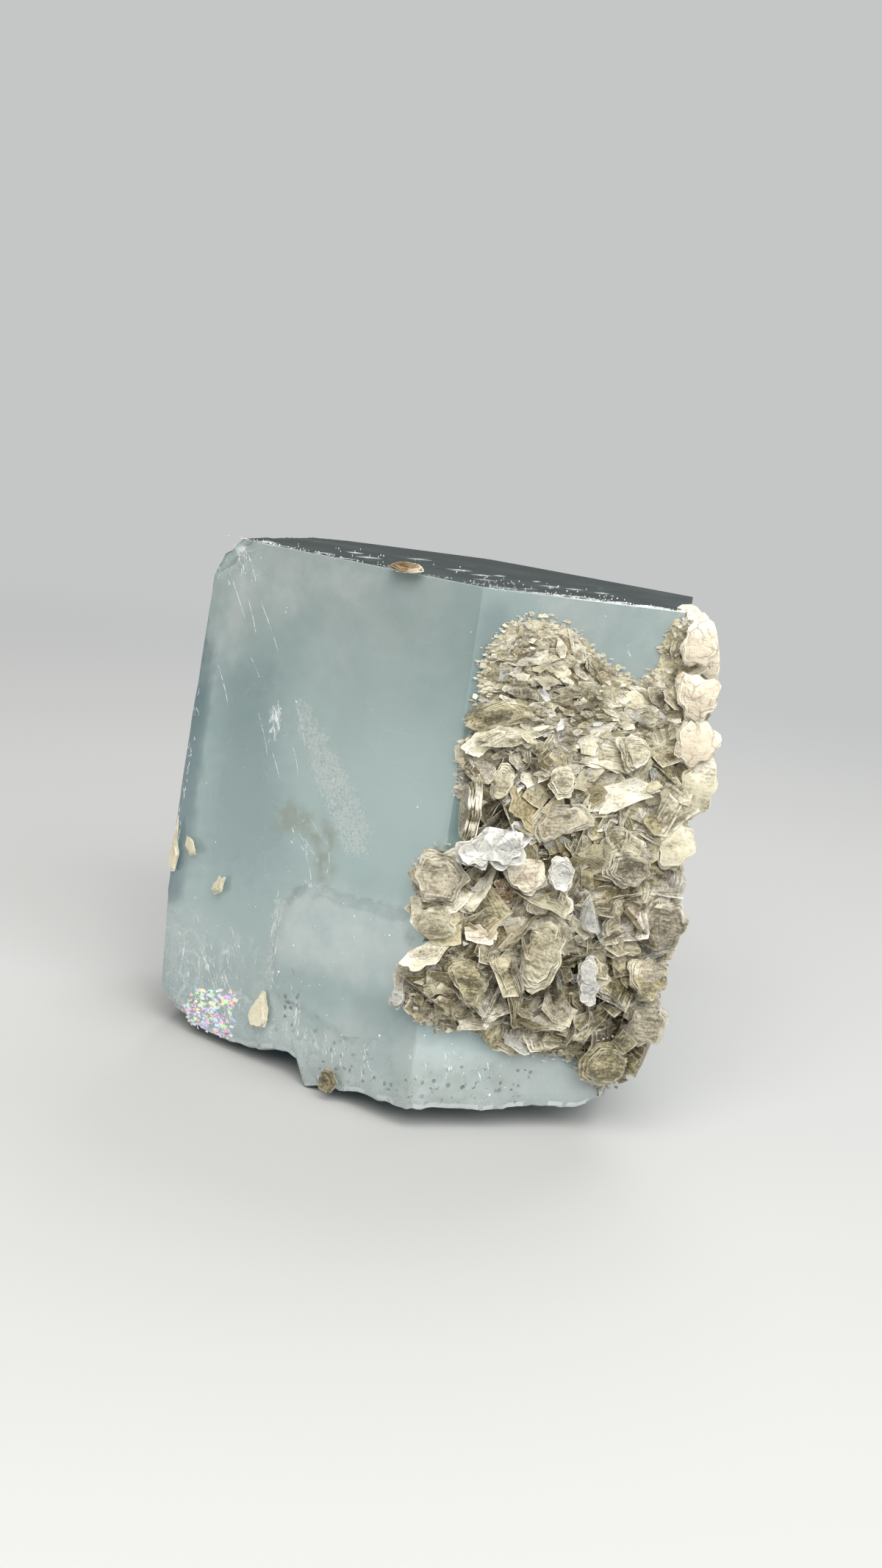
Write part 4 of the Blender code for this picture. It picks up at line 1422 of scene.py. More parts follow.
LEAVES = (
    Leaf((686, 975), 2.6, -10, -8, 14, (6.3, 2.4), Mica.OLIVE, 4, 0.45),
    Leaf((705, 998), 2.9, -6, 32, 14, (7.1, 1.6), Mica.CREAM, 4, 0.55),
    Leaf((668, 1012), 2.6, -18, 10, 30, (3.6, 2.0), Mica.CREAM, 3, 0.6),
    Leaf((805, 988), 2.7, 0, -30, -8, (5.9, 1.6), Mica.OLIVE, 3, 0.35),
    Leaf((768, 998), 2.9, -6, 12, -6, (4.7, 2.8), Mica.GREY, 3, 0.5),
    Leaf((741, 1015), 2.7, 4, -14, 30, (3.9, 3.2), Mica.GREY, 4, 0.25),
    Leaf((840, 1021), 3.3, -6, 10, -15, (8.5, 3.9), Mica.CREAM, 5, 0.8),
    Leaf((905, 1010), 2.6, 10, 6, 30, (3.3, 4.4), Mica.CREAM, 5, 0.7),
    Leaf((768, 1039), 3.1, 0, 28, 4, (6.7, 1.6), Mica.GREY, 3, 0.6),
    Leaf((734, 1047), 3.1, -12, 20, 20, (4.3, 2.2), Mica.CREAM, 3, 0.8),
    Leaf((880, 1048), 2.8, 10, -10, -24, (4.3, 2.4), Mica.GREY, 3, 0.4),
    Leaf((710, 1082), 2.6, 6, -16, -10, (3.6, 2.8), Mica.OLIVE, 4, 0.3),
    Leaf((842, 1080), 3.4, -10, 22, 13, (7.9, 2.2), Mica.CREAM, 5, 0.9),
    Leaf((805, 1058), 2.9, 10, 8, -20, (3.6, 2.0), Mica.CREAM, 3, 0.5),
    Leaf((686, 1111), 2.6, -14, -6, 60, (4.3, 2.0), Mica.GREY, 3, 0.4),
    Leaf((725, 1107), 2.7, 6, 12, 20, (3.2, 2.4), Mica.CREAM, 3, 0.6),
    Leaf((831, 1121), 2.9, 14, 4, -20, (4.7, 5.1), Mica.OLIVE, 4, 0.65),
    Leaf((870, 1111), 2.6, 20, 2, -6, (3.6, 5.1), Mica.OLIVE, 4, 0.6),
    Leaf((875, 1155), 3.0, 8, 24, 40, (4.3, 2.4), Mica.CREAM, 4, 0.8),
    Leaf((812, 1155), 2.6, 10, -12, -15, (3.2, 4.3), Mica.OLIVE, 4, 0.4),
    Leaf((632, 1170), 2.6, -20, 24, 20, (3.2, 2.0), Mica.CREAM, 3, 0.8),
    Leaf((655, 1209), 3.0, -30, 20, 52, (5.5, 1.6), Mica.CREAM, 4, 0.9),
    Leaf((627, 1231), 2.7, -20, 26, 40, (3.6, 1.7), Mica.CREAM, 3, 0.8),
    Leaf((700, 1209), 3.3, 4, -10, -30, (3.2, 2.0), Mica.STAINED, 4, 0.3),
    Leaf((680, 1225), 3.1, -4, -14, -8, (3.4, 1.8), Mica.STAINED, 4, 0.35),
    Leaf((700, 1247), 3.0, -14, 26, 28, (4.7, 2.0), Mica.CREAM, 4, 0.8),
    Leaf((654, 1264), 3.0, -16, 14, -30, (3.9, 2.8), Mica.PINK, 3, 0.8),
    Leaf((686, 1272), 2.6, 12, 0, -10, (2.4, 4.3), Mica.OLIVE, 4, 0.5),
    Leaf((710, 1294), 2.8, 10, -8, -30, (2.8, 4.3), Mica.GREY, 3, 0.6),
    Leaf((754, 1233), 3.3, -26, 8, -12, (2.4, 5.9), Mica.CREAM, 4, 0.85),
    Leaf((783, 1247), 2.9, 20, -8, -10, (2.8, 4.7), Mica.GREY, 4, 0.25),
    Leaf((880, 1257), 3.0, -4, 14, -40, (4.3, 4.7), Mica.CREAM, 5, 0.75),
    Leaf((851, 1286), 2.8, 12, -6, 30, (3.6, 3.6), Mica.OLIVE, 4, 0.6),
    Leaf((875, 1301), 3.1, -16, 4, -26, (2.4, 4.7), Mica.CREAM, 4, 0.8),
    Leaf((812, 1281), 2.6, 8, -10, 0, (4.7, 3.2), Mica.GREY, 4, 0.3),
    Leaf((768, 1306), 2.6, 4, -14, 20, (4.7, 2.4), Mica.OLIVE, 4, 0.4),
    Leaf((598, 1301), 2.6, -20, 20, 24, (4.3, 2.0), Mica.CREAM, 3, 0.8),
    Leaf((569, 1345), 1.7, -24, 4, -10, (3.2, 4.3), Mica.GREY, 3, 0.6),
    Leaf((671, 1364), 2.9, -10, 14, -20, (2.4, 4.7), Mica.CREAM, 4, 0.75),
    Leaf((705, 1364), 2.7, 12, -6, -30, (3.6, 4.7), Mica.GREY, 4, 0.2),
    Leaf((744, 1347), 2.8, 0, -24, 10, (2.8, 2.0), Mica.OLIVE, 3, 0.2),
    Leaf((613, 1383), 2.3, -10, -24, -6, (4.7, 1.6), Mica.OLIVE, 4, 0.4),
    Leaf((661, 1391), 2.3, 0, 22, 6, (5.1, 1.7), Mica.CREAM, 4, 0.75),
    Leaf((754, 1383), 3.0, -6, 12, 16, (5.1, 3.2), Mica.GREY, 4, 0.55),
    Leaf((831, 1369), 2.9, 14, -12, -20, (3.6, 3.6), Mica.GREY, 4, 0.35),
    Leaf((749, 1410), 2.5, 0, 16, 8, (5.9, 2.4), Mica.CREAM, 4, 0.5),
    Leaf((793, 1393), 2.8, 6, 0, 30, (4.3, 2.8), Mica.GREY, 4, 0.5),
    Leaf((768, 1428), 2.0, 0, -30, -3, (6.7, 1.2), Mica.OLIVE, 5, 0.45),
    Leaf((851, 1393), 2.8, 20, -4, -30, (3.6, 4.3), Mica.OLIVE, 4, 0.1),
    Leaf((827, 1430), 2.6, 14, -4, 30, (3.6, 3.2), Mica.OLIVE, 4, 0.1),
    FinLeaf((934, 858), 2.2, 272, 12, -10, (4.3, 4.7), Mica.PINK, 3, 0.85),
    FinLeaf((952, 910), 2.4, 276, 3, 0, (4.0, 9.2), Mica.PINK, 2, 0.9),
    FinLeaf((951, 943), 2.6, 278, 0, 6, (3.0, 5.2), Mica.PINK, 2, 0.95),
    FinLeaf((922, 910), 0.9, 244, 10, -16, (1.4, 4.7), Mica.OLIVE, 4, 0.7),
    FinLeaf((931, 924), 1.2, 300, 6, -24, (1.3, 4.6), Mica.OLIVE, 4, 0.5),
    FinLeaf((913, 935), 0.8, 262, 0, -8, (1.7, 3.9), Mica.OLIVE, 4, 0.35),
    FinLeaf((939, 966), 1.6, 280, -24, 4, (3.9, 2.2), Mica.OLIVE, 3, 0.3),
    FinLeaf((942, 1001), 2.0, 274, 8, 0, (3.0, 4.2), Mica.PINK, 2, 0.85),
    FinLeaf((931, 1037), 0.9, 262, 0, -30, (1.7, 3.2), Mica.GREY, 3, 0.2),
    FinLeaf((914, 1056), 0.9, 290, -10, 40, (2.4, 3.2), Mica.GREY, 3, 0.3),
    FinLeaf((934, 1061), 2.2, 272, 6, -10, (2.4, 5.0), Mica.PINK, 2, 0.95),
    FinLeaf((925, 1095), 1.2, 280, -4, -30, (2.8, 3.6), Mica.OLIVE, 3, 0.45),
    FinLeaf((905, 1111), 0.8, 262, 0, -10, (2.0, 3.9), Mica.OLIVE, 3, 0.35),
    FinLeaf((918, 1171), 1.4, 276, 6, 30, (2.4, 1.7), Mica.PINK, 3, 0.95),
    FinLeaf((902, 1189), 0.9, 285, 0, -6, (2.4, 4.3), Mica.GREY, 3, 0.45),
    FinLeaf((909, 1221), 1.2, 272, 0, -14, (1.7, 4.3), Mica.CREAM, 3, 0.7),
    FinLeaf((894, 1229), 0.8, 250, 4, -30, (1.6, 4.7), Mica.OLIVE, 3, 0.45),
    FinLeaf((902, 1277), 1.4, 276, 0, -2, (2.6, 5.1), Mica.PINK, 3, 0.9),
    FinLeaf((880, 1313), 1.0, 282, 10, 10, (4.7, 2.8), Mica.OLIVE, 4, 0.25),
    FinLeaf((884, 1338), 1.4, 276, -8, -20, (3.2, 3.6), Mica.OLIVE, 3, 0.15),
    FinLeaf((875, 1364), 1.2, 270, 0, -30, (3.2, 3.6), Mica.GREY, 3, 0.1),
    FinLeaf((870, 1398), 1.2, 278, -6, -20, (3.0, 4.2), Mica.OLIVE, 2, -0.1),
    FinLeaf((861, 1422), 1.2, 276, 0, -30, (3.0, 3.6), Mica.OLIVE, 2, -0.05),
    FinLeaf((840, 1447), 0.9, 272, -6, -26, (3.2, 4.5), Mica.OLIVE, 2, 0.0),
    FinLeaf((818, 1466), 0.5, 262, -8, -20, (2.0, 3.6), Mica.OLIVE, 2, 0.0),
    PlacedLeaf((3.2, 30.1), 3.4, 284, 14, 120, (3.0, 1.8), Mica.SILVER, 1, 0.6),
    PlacedLeaf((6.2, 31.2), 3.6, 286, 20, 30, (2.6, 2.2), Mica.SILVER, 1, 0.8),
    PlacedLeaf((8.4, 31.6), 3.5, 280, 8, 84, (2.2, 1.2), Mica.SILVER, 1, 0.9),
    PlacedLeaf((7.7, 42.4), 3.2, 286, 10, 70, (1.5, 1.0), Mica.SILVER, 1, 1.3),
    PlacedLeaf((8.6, 42.0), 3.2, 282, 14, 110, (1.3, 0.9), Mica.SILVER, 1, 1.3),
    PlacedLeaf((12.2, 8.4), 1.6, 300, -50, 5, (2.8, 0.7), Mica.SILVER, 1, 1.3),
    PlacedLeaf((23.8, 33.2), 2.5, 278, 0, 8, (2.2, 4.0), Mica.PINK, 2, 0.8),
)


@dataclass
class MicaBooks:
    """The large books: each CAD plate becomes a stack of thin uneven sheets in the same place."""

    gap_share: float = 0.12
    sheet_pitch: float = 0.13
    rim_points: int = 36
    fin_stretch: float = 1.22
    pointed: tuple[str, ...] = ("book_low_left", "book_wedge_grey", "book_wedge_olive", "flake_left_low",
                                "flake_left_edge", "book_cream_under", "book_thin_edge")
    dark: tuple[str, ...] = ("book_low_right", "book_grey_right", "book_olive_left", "book_wedge_olive",
                             "book_upright_left", "fin_olive", "fin_brown", "fin_low", "flake_brown_base")
    pale: tuple[str, ...] = ("flake_left_edge", "flake_left_low", "flake_left_side", "book_low_left")
    fans: dict[str, tuple[tuple[float, float, float], ...]] = field(default_factory=lambda: {
        "book_silver_twin": ((-0.62, -0.24, 0.72), (0.26, 0.08, 1.02), (0.66, 0.4, 0.5)),
        "book_silver_low": ((-0.1, 0.5, 0.8), (0.12, -0.45, 0.9)),
    })
    lobes: tuple[str, ...] = ("fin_top", "fin_upper")

    def node_shape(self, node: str) -> tuple[Vector, Matrix, list[Pair], float]:
        """Read a CAD plate: its back's middle, its axes, its back's outline and its thickness."""
        mesh = frame["nodes"][node].data
        mesh.calc_loop_triangles()
        areas: dict[tuple[float, ...], float] = {}
        for triangle in mesh.loop_triangles:
            key = tuple(round(part, 2) for part in triangle.normal)
            areas[key] = areas.get(key, 0.0) + triangle.area
        back = Vector(max(areas, key=lambda key: areas[key])).normalized()
        places = [PRISM.from_row(vertex.co) for vertex in mesh.vertices]
        deep = max(place.dot(back) for place in places)
        thick = deep - min(place.dot(back) for place in places)
        rim = {tuple(round(part, 3) for part in place) for place in places if place.dot(back) > deep - 0.02}
        rim = [Vector(place) for place in sorted(rim)]
        middle = sum(rim, Vector()) / len(rim)
        axes = face_axes(-back, 0.0)
        flat = [axes.transposed() @ (place - middle) for place in rim]
        outline = sorted(((p.x, p.y) for p in flat), key=lambda spot: math.atan2(spot[1], spot[0]))
        return middle, axes, outline, thick

    def rim_reach(self, outline: Outline, angle: float) -> float:
        """How far an outline reaches from its middle at an angle."""
        way = (math.cos(angle), math.sin(angle))
        for (x0, y0), (x1, y1) in sides_of(outline):
            run_x, run_y = x1 - x0, y1 - y0
            scale = way[0] * run_y - way[1] * run_x
            if abs(scale) < 1e-9:
                continue
            reach = (x0 * run_y - y0 * run_x) / scale
            share = (x0 * way[1] - y0 * way[0]) / scale
            if reach > 0.0 and -0.001 <= share <= 1.001:
                return reach
        return math.hypot(*outline[0])

    def middle_tint(self, node: str) -> float:
        """The tint that a book's sheets vary about."""
        if node in self.fans:
            return 0.75
        if node in self.dark:
            return 0.38
        return 0.95 if node.startswith("fin") else 1.35 if node in self.pale else 0.6

    def build(self, node: str, slot: Mica) -> bpy.types.Object:
        """Build one book in place of its CAD node.

        Args:
            node: The CAD node.
            slot: The kind of mica.

        Returns:
            The book.
        """
        middle, axes, outline, thick = self.node_shape(node)
        dice = random.Random(node)
        fin = node.startswith("fin")
        fans = self.fans.get(node, ())
        petals = 3 if fans else 0
        count = 4 if fin else max(5, round(thick / self.sheet_pitch))
        pitch = thick / count
        heap = Heap()
        beats = [dice.uniform(0.0, math.tau) for _ in range(3)]
        sides = dice.choice((5, 6, 6))
        lean = dice.uniform(0.0, math.tau)
        round_reach = sum(math.hypot(*spot) for spot in outline) / len(outline)
        for level in range(count):
            share = (level + 0.5) / count
            scale = 1.25 * math.sqrt(1.1 - 0.4 * share * share) if fin else 1.24 - 0.07 * share
            if node in self.lobes:
                scale *= 0.9
            if not fin:
                scale *= 1.0 - (0.2 * share + dice.uniform(0.0, 0.1) if level else 0.0)
            turn = 0.0 if fin else dice.gauss(0.0, 0.1)
            rim = []
            drift, slant = 0.15 * (not fin) * share, 0.35 * (not fin) * share
            slide = (dice.uniform(-drift, drift) + slant * math.cos(lean),
                     dice.uniform(-drift, drift) + slant * math.sin(lean))
            if fans:
                across, up, part = fans[level % len(fans)]
                slide = (across * round_reach, up * round_reach)
                scale = part * (1.0 - 0.3 * share)
            for index in range(self.rim_points):
                angle = math.tau * index / self.rim_points
                reach = self.rim_reach(outline, angle) * scale
                wave = math.sin(3 * angle + beats[0]) + 0.8 * math.sin(7 * angle + beats[1] + 0.4 * level)
                if fin:
                    reach = (0.7 * reach + 0.3 * round_reach * scale) * (0.92 - 0.1 * wave)
                elif petals:
                    reach = (0.6 * reach + 0.4 * round_reach * scale) * (1.0 + 0.05 * wave)
                    reach *= 1.0 + 0.09 * math.sin(5 * angle + 2.0 * level)
                else:
                    corner = (angle + beats[2]) % (math.tau / sides) - math.pi / sides
                    straight = math.cos(math.pi / sides) / math.cos(corner)
                    reach *= 0.5 + 0.54 * straight - 0.035 * wave
                reach *= 1.0 - (0.01 if fin else 0.07) * dice.random()
                across, up = math.cos(angle + turn) * reach, math.sin(angle + turn) * reach
                if fin:
                    up *= self.fin_stretch
                if node in self.pointed:
                    across *= 1.0 - 0.38 * (1.0 + math.sin(angle))
                rim.append((across + slide[0], up + slide[1]))
            at = middle + axes @ Vector((0.0, 0.0, pitch * (level + 0.5)))
            body = pitch * (1.0 if fin else 1.0 - self.gap_share)
            tint = self.middle_tint(node) + dice.uniform(-0.14, 0.14)
            rings = (0.25, 0.5, 0.75, 0.92, 1.0) if level == count - 1 else (0.7, 1.0)
            curl = 0.0 if fin else dice.uniform(-0.02, 0.012)
            waviness, dome = (0.24, 0.09) if fin else (0.08, 0.0)
            Sheet(at, axes, rim, body, curl, tint, waviness, rings, dome, petals).add_to(heap)
        book = heap.make(node.replace("book", "mica_book").replace("fin_", "mica_fin_"), slot.value, 40.0)
        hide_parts(node)
        return book


@dataclass
class MicaCrust:
    """The crust between the books: a crumpled bed, plates and flakes on it, and a glittering fringe."""

    outline: Outline = (
        (1.5, 48.6), (3.3, 51), (6.6, 51.4), (9.7, 50.9), (11.5, 49.6), (14.5, 47.6), (17.5, 46.6),
        (19.4, 48), (19.7, 51), (20.4, 53), (23, 53.2), (26.5, 52), (29.5, 49.5), (32.5, 45.5),
        (35.5, 42.5), (36.5, 38), (35, 33), (36.5, 28), (34.5, 22), (31.5, 17), (29.5, 11.5),
        (26, 7.5), (23.5, 4.6), (20.8, 4.4), (19, 6.2), (17.3, 8.2), (13.7, 8), (11.7, 9),
        (8.9, 9.4), (5.6, 10.6), (2, 10.6), (-1.2, 11.9), (-2.6, 13.4), (-2.4, 15.6), (-0.6, 16.4),
        (0.6, 18.8), (-1.2, 20.6), (-2.4, 22.2), (-2, 24), (-2.8, 26.6), (-1.6, 28.2), (0.9, 28.4),
        (2, 29.8), (1.4, 32.4), (0.3, 35.4), (0.5, 39), (1.6, 40.6), (1.2, 43), (0.9, 45.2),
    )
    thin: float = 0.9
    full: float = 3.1
    slope: float = 4.0
    lumps: float = 0.8
    corner_swell: float = 0.9
    gap: float = 0.42
    bed_cell: float = 0.34
    rim_wander: float = 0.12
    bed_lift: float = 0.1
    bed_back: float = 0.03
    clearance: float = 0.04
    facet: float = 1.0
    plate_spacing: float = 1.35
    flake_spacing: float = 1.12
    shard_spacing: float = 0.42
    glint_spacing: float = 0.85
    fringe_step: float = 0.085
    fringe_reach: float = 0.9
    feather_spacing: float = 0.8
    side_share: float = 0.7
    leaf_sunk: float = 0.55
    flake_thick: float = 0.03
    # Spots that darken or lighten the mica (along, height, reach, change): the dark ones are painted shade in
    # hollows, partly real stain; the pale ones are paler tone.
    shade_and_tone_patches: tuple[tuple[float, float, float, float], ...] = (
        (3.5, 35.5, 2.5, -0.4), (8, 38.5, 2.2, -0.35), (11, 29, 2, -0.25), (6, 24.5, 2.5, -0.4),
        (14, 20, 3, -0.3), (11.5, 16, 2.5, -0.35), (3, 14, 3.2, -0.35), (9.5, 13.5, 2.5, -0.3),
        (23, 14, 6, -0.6), (23.5, 44, 1.8, -0.4), (22.8, 39, 1.6, -0.45), (24, 7, 3, -0.5),
        (5, 45.5, 2, -0.2), (15, 40, 3, 0.3), (16, 36, 3, 0.35), (2.5, 24, 3, 0.3),
        (9, 20, 2.5, 0.25), (6, 49, 3, 0.15), (0.5, 37, 1.2, 0.4), (9.5, 9.5, 4, 0.2),
    )
    heaps: dict[Mica, Heap] = field(default_factory=dict)
    books: list[tuple[float, float, float, float]] = field(default_factory=list)

    def edge(self, along: float, height: float) -> float:
        """Distance in from the crust's outline."""
        return outline_distance(along, height, self.outline)

    def depth(self, along: float, height: float, edge: float) -> float:
        """Thickness that the crust's tips reach, at a spot and its distance from the crust's edge."""
        rise = smooth(abs(edge) / self.slope)
        full = self.full + self.lumps * noise.noise(Vector((along * 0.3, height * 0.3, 4.0)))
        full += self.corner_swell * math.exp(-(((along - STARTS[2]) / 3.5) ** 2))
        return self.thin + (full - self.thin) * rise

    def note_books(self, nodes: Iterable[str]) -> None:
        """Remember where the books stand, so that flakes don't hide them."""
        for node in nodes:
            low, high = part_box(node)
            along, height, out = PRISM.address(PRISM.from_row((low + high) / 2))
            size = (high - low) / MM
            self.books.append((along, height, out, 0.27 * max(size.z, math.hypot(size.x, size.y))))

    def stand(self, along: float, height: float, share: float) -> float:
        """How far out a flake stands at a share of the crust's depth, kept low where a book is.

        Args:
            along: Its place along the faces.
            height: Its height.
            share: The share of the depth, from 0 at the bed to 1 at the tips.

        Returns:
            The distance out of the wall.
        """
        depth = self.depth(along, height, self.edge(along, height))
        limit = self.gap + depth + 0.25
        for place, level, out, radius in self.books:
            if math.hypot(along - place, height - level) < radius:
                limit = min(limit, out + 0.1)
        return min(self.gap + depth * share, max(0.5, limit))

    def scatter(self, spacing: float, seed: int, margin: float) -> list[Pair]:
        """Spots spread evenly inside the outline, none nearer than a spacing.

        Args:
            spacing: The least distance between spots.
            seed: The seed of chance.
            margin: The least distance from the outline.

        Returns:
            The (along, height) spots.
        """
        dice = random.Random(seed)
        low = np.array(self.outline).min(0)
        high = np.array(self.outline).max(0)
        cells: dict[tuple[int, int], Pair] = {}
        spots = []
        tries = int((high[0] - low[0]) * (high[1] - low[1]) / spacing**2 * 5)
        for _ in range(tries):
            spot = (dice.uniform(low[0], high[0]), dice.uniform(low[1], high[1]))
            cell = (int(spot[0] // spacing), int(spot[1] // spacing))
            near = [cells.get((cell[0] + i, cell[1] + j)) for i in (-1, 0, 1) for j in (-1, 0, 1)]
            if any(other and math.dist(other, spot) < spacing for other in near):
                continue
            if self.edge(*spot) > margin:
                cells[cell] = spot
                spots.append(spot)
        return spots

    def build_bed(self) -> None:
        """The crumpled sheet under the flakes, closed at its back."""
        dice = random.Random(5)
        rim = []
        for start, end in sides_of(self.outline):
            count = max(1, round(math.dist(start, end) / self.bed_cell))
            for index in range(count):
                spot = between(start, end, index / count)
                rim.append(tuple(place + dice.uniform(-self.rim_wander, self.rim_wander) for place in spot))
        inner = self.scatter(self.bed_cell * 0.85, 6, 0.2)
        edges = [(index, (index + 1) % len(rim)) for index in range(len(rim))]
        flat, _, faces, *_ = delaunay_2d_cdt([Vector(spot) for spot in (*rim, *inner)], edges, [], 1, 1e-5)
        facets = [(spot, dice.uniform(-0.5, 0.5), dice.uniform(-0.6, 0.6), dice.uniform(-0.6, 0.6))
                  for spot in self.scatter(self.facet, 7, -0.5)]
        middles = np.array([facet[0] for facet in facets])
        front, back, tints = [], [], []
        for spot in flat:
            number = int(np.argmin(((middles - np.array(spot)) ** 2).sum(1)))
            (x, y), lift, lean_x, lean_y = facets[number]
            edge = self.edge(spot.x, spot.y)
            rise = 0.5 * self.depth(spot.x, spot.y, edge) * smooth(edge / 2.0)
            rise += (0.6 * lift + lean_x * (spot.x - x) + lean_y * (spot.y - y)) * min(1.0, rise)
            front.append(PRISM.point(spot.x, spot.y, self.bed_lift + max(0.0, rise)))
            back.append(PRISM.point(spot.x, spot.y, self.bed_back))
            tints.append(0.45 + 0.4 * abs(lift) + 0.5 * smooth(1.0 - edge / 1.6))
        count = len(flat)
        pairs = {pair for face in faces for pair in sides_of(face)}
        walls = [(start, end) for start, end in sorted(pairs) if (end, start) not in pairs]
        solid = [tuple(face) for face in faces] + [tuple(count + i for i in face[::-1]) for face in faces]
        solid += [(b, a, count + a, count + b) for a, b in walls]
        across, up = [spot.x for spot in flat] * 2, [spot.y for spot in flat] * 2
        self.heap(Mica.CRUST).add(front + back, solid, tint=tints * 2, edge=0.0, across=across, up=up)

    def heap(self, kind: Mica) -> Heap:
        """The heap that collects flakes of a kind."""
        return self.heaps.setdefault(kind, Heap())

    def add_stack(self, kind: Mica, at: Vector, axes: Matrix, outline: Outline, tint: float,
                  dice: random.Random, sheets: int, thick: float, rings: tuple[float, ...],
                  wave: float, dome: float = 0.0) -> None:
        """Add a few sheets that fan out a little, kept off the crystal.

        Args:
            kind: The kind of mica.
            at: The middle of the stack.
            axes: Its axes.
            outline: Its outline.
            tint: Its shade, from 0 to 1.
            dice: The source of chance.
            sheets: How many sheets it has.
            thick: The thickness of one sheet.
            rings: The rings of the front sheet's mesh.
            wave: How wavy the sheets are.
            dome: How much they bulge.
        """
        heap = self.heap(kind)
        first = len(heap.points)
        curl = dice.uniform(-0.03, 0.03)
        reach = max(math.hypot(*spot) for spot in outline)
        way = dice.uniform(0.0, math.tau)
        shift = Vector((math.cos(way), math.sin(way), 0.0)) * reach * 0.5 * (dome == 0.0)
        splay = dice.uniform(-0.03, 0.07)
        for level in range(sheets):
            back = sheets - 1 - level
            share = back / max(1, sheets - 1)
            spin = Matrix.Rotation(0.1 * dice.gauss(0, 1), 3, "Z")
            turned = axes @ Matrix.Rotation(-splay * back, 3, "X") @ spin
            scale = (0.62 + 0.5 * share if sheets > 1 else 0.9) if dome == 0.0 else 1.0
            slide = -shift * (1.0 - share) * 0.5 + Vector((0.0, 0.0, -back * thick * 1.5))
            ragged = 0.07 * (dome == 0.0)
            rim = [(x * scale * (1 - ragged * dice.random()), y * scale * (1 - ragged * dice.random()))
                   for x, y in outline]
            level_rings = rings if back == 0 else (0.7, 1.0)
            shade = tint + dice.uniform(-0.14, 0.14)
            Sheet(at + axes @ slide, turned, rim, thick, curl, shade, wave, level_rings, dome).add_to(heap)
        for index in range(first, len(heap.points)):
            heap.points[index] = self.keep_off(heap.points[index])

    def keep_off(self, point: Vector) -> Vector:
        """Push a point out of the crystal, to just off its wall."""
        along, height, out = PRISM.address(point)
        if out >= self.clearance or height > PRISM.top:
            return point
        return point + PRISM.wall(along)[1] * (self.clearance - out)

    def tint(self, along: float, height: float) -> float:
        """The tone of the mica at a spot: painted shade in dark hollows, partly real stain, and paler
        patches.
        """
        spot = Vector((along * 0.22, height * 0.34, 6.0))
        shade = 0.55 + 0.5 * noise.noise(spot) + 0.3 * noise.noise(spot * 2.7)
        for place, level, reach, change in self.shade_and_tone_patches:
            shade += change * math.exp(-(((along - place) ** 2 + (height - level) ** 2) / reach**2))
        return min(1.2, max(-0.2, shade))

    def pick(self, dice: random.Random, along: float, height: float) -> Mica:
        """The kind of mica for a flake at a spot."""
        drift = noise.noise(Vector((along * 0.25, height * 0.25, 12.0))) + dice.gauss(0.0, 0.2)
        if along > 20.0:
            order = (Mica.PINK, Mica.CREAM, Mica.OLIVE, Mica.GREY)
            order = order if height >= 22.0 else order[2:] * 2
        elif height > 36.0:
            order = (Mica.CREAM, Mica.CREAM, Mica.CRUST, Mica.GREY)
        else:
            order = (Mica.CREAM, Mica.CRUST, Mica.OLIVE, Mica.GREY)
        if dice.random() < 0.04:
            return Mica.SILVER
        return order[min(3, max(0, int(2.0 - 4.0 * drift)))]

    def lie(self, dice: random.Random, along: float, height: float) -> tuple[float, float]:
        """How a flake leans at a spot: the angle from the wall's outward direction, and which way.

        Args:
            dice: The source of chance.
            along: Its place along the faces.
            height: Its height.

        Returns:
            The tilt and the direction, in degrees.
        """
        swirl = 300.0 * noise.noise(Vector((along * 0.16, height * 0.16, 2.0)))
        if along > 21.0:
            return dice.uniform(50.0, 88.0), dice.gauss(180.0, 22.0)
        if height > 36.0:
            return 4.0 + abs(dice.gauss(16.0, 12.0)), dice.gauss(90.0 + 0.4 * swirl, 50.0)
        steep = dice.random() < 0.25
        tilt = dice.uniform(50.0, 78.0) if steep else 5.0 + abs(dice.gauss(20.0, 13.0))
        return tilt, dice.gauss(swirl, 60.0)

    def build_leaves(self) -> None:
        """The large plates that give the crust its shape."""
        dice = random.Random(11)
        for leaf in LEAVES:
            along, height, out = leaf.at()
            fin = leaf.kind is Mica.PINK and along > STARTS[2]
            at = PRISM.point(along, height, out if fin else out - self.leaf_sunk)
            wide, tall = (side * (1.15 if fin else 1.3) for side in leaf.size)
            outline = pillow_outline(dice, wide, tall) if fin else plate_outline(dice, wide, tall, 26)
            sheets, thick, wave = (leaf.sheets, 0.3, 0.25) if fin else (leaf.sheets + 1, 0.04, 0.14)
            self.add_stack(leaf.kind, at, face_axes(leaf.facing(), leaf.turn()), outline, leaf.tint, dice,
                           sheets, thick, (0.35, 0.65, 0.88, 1.0), wave, 0.09 * fin)

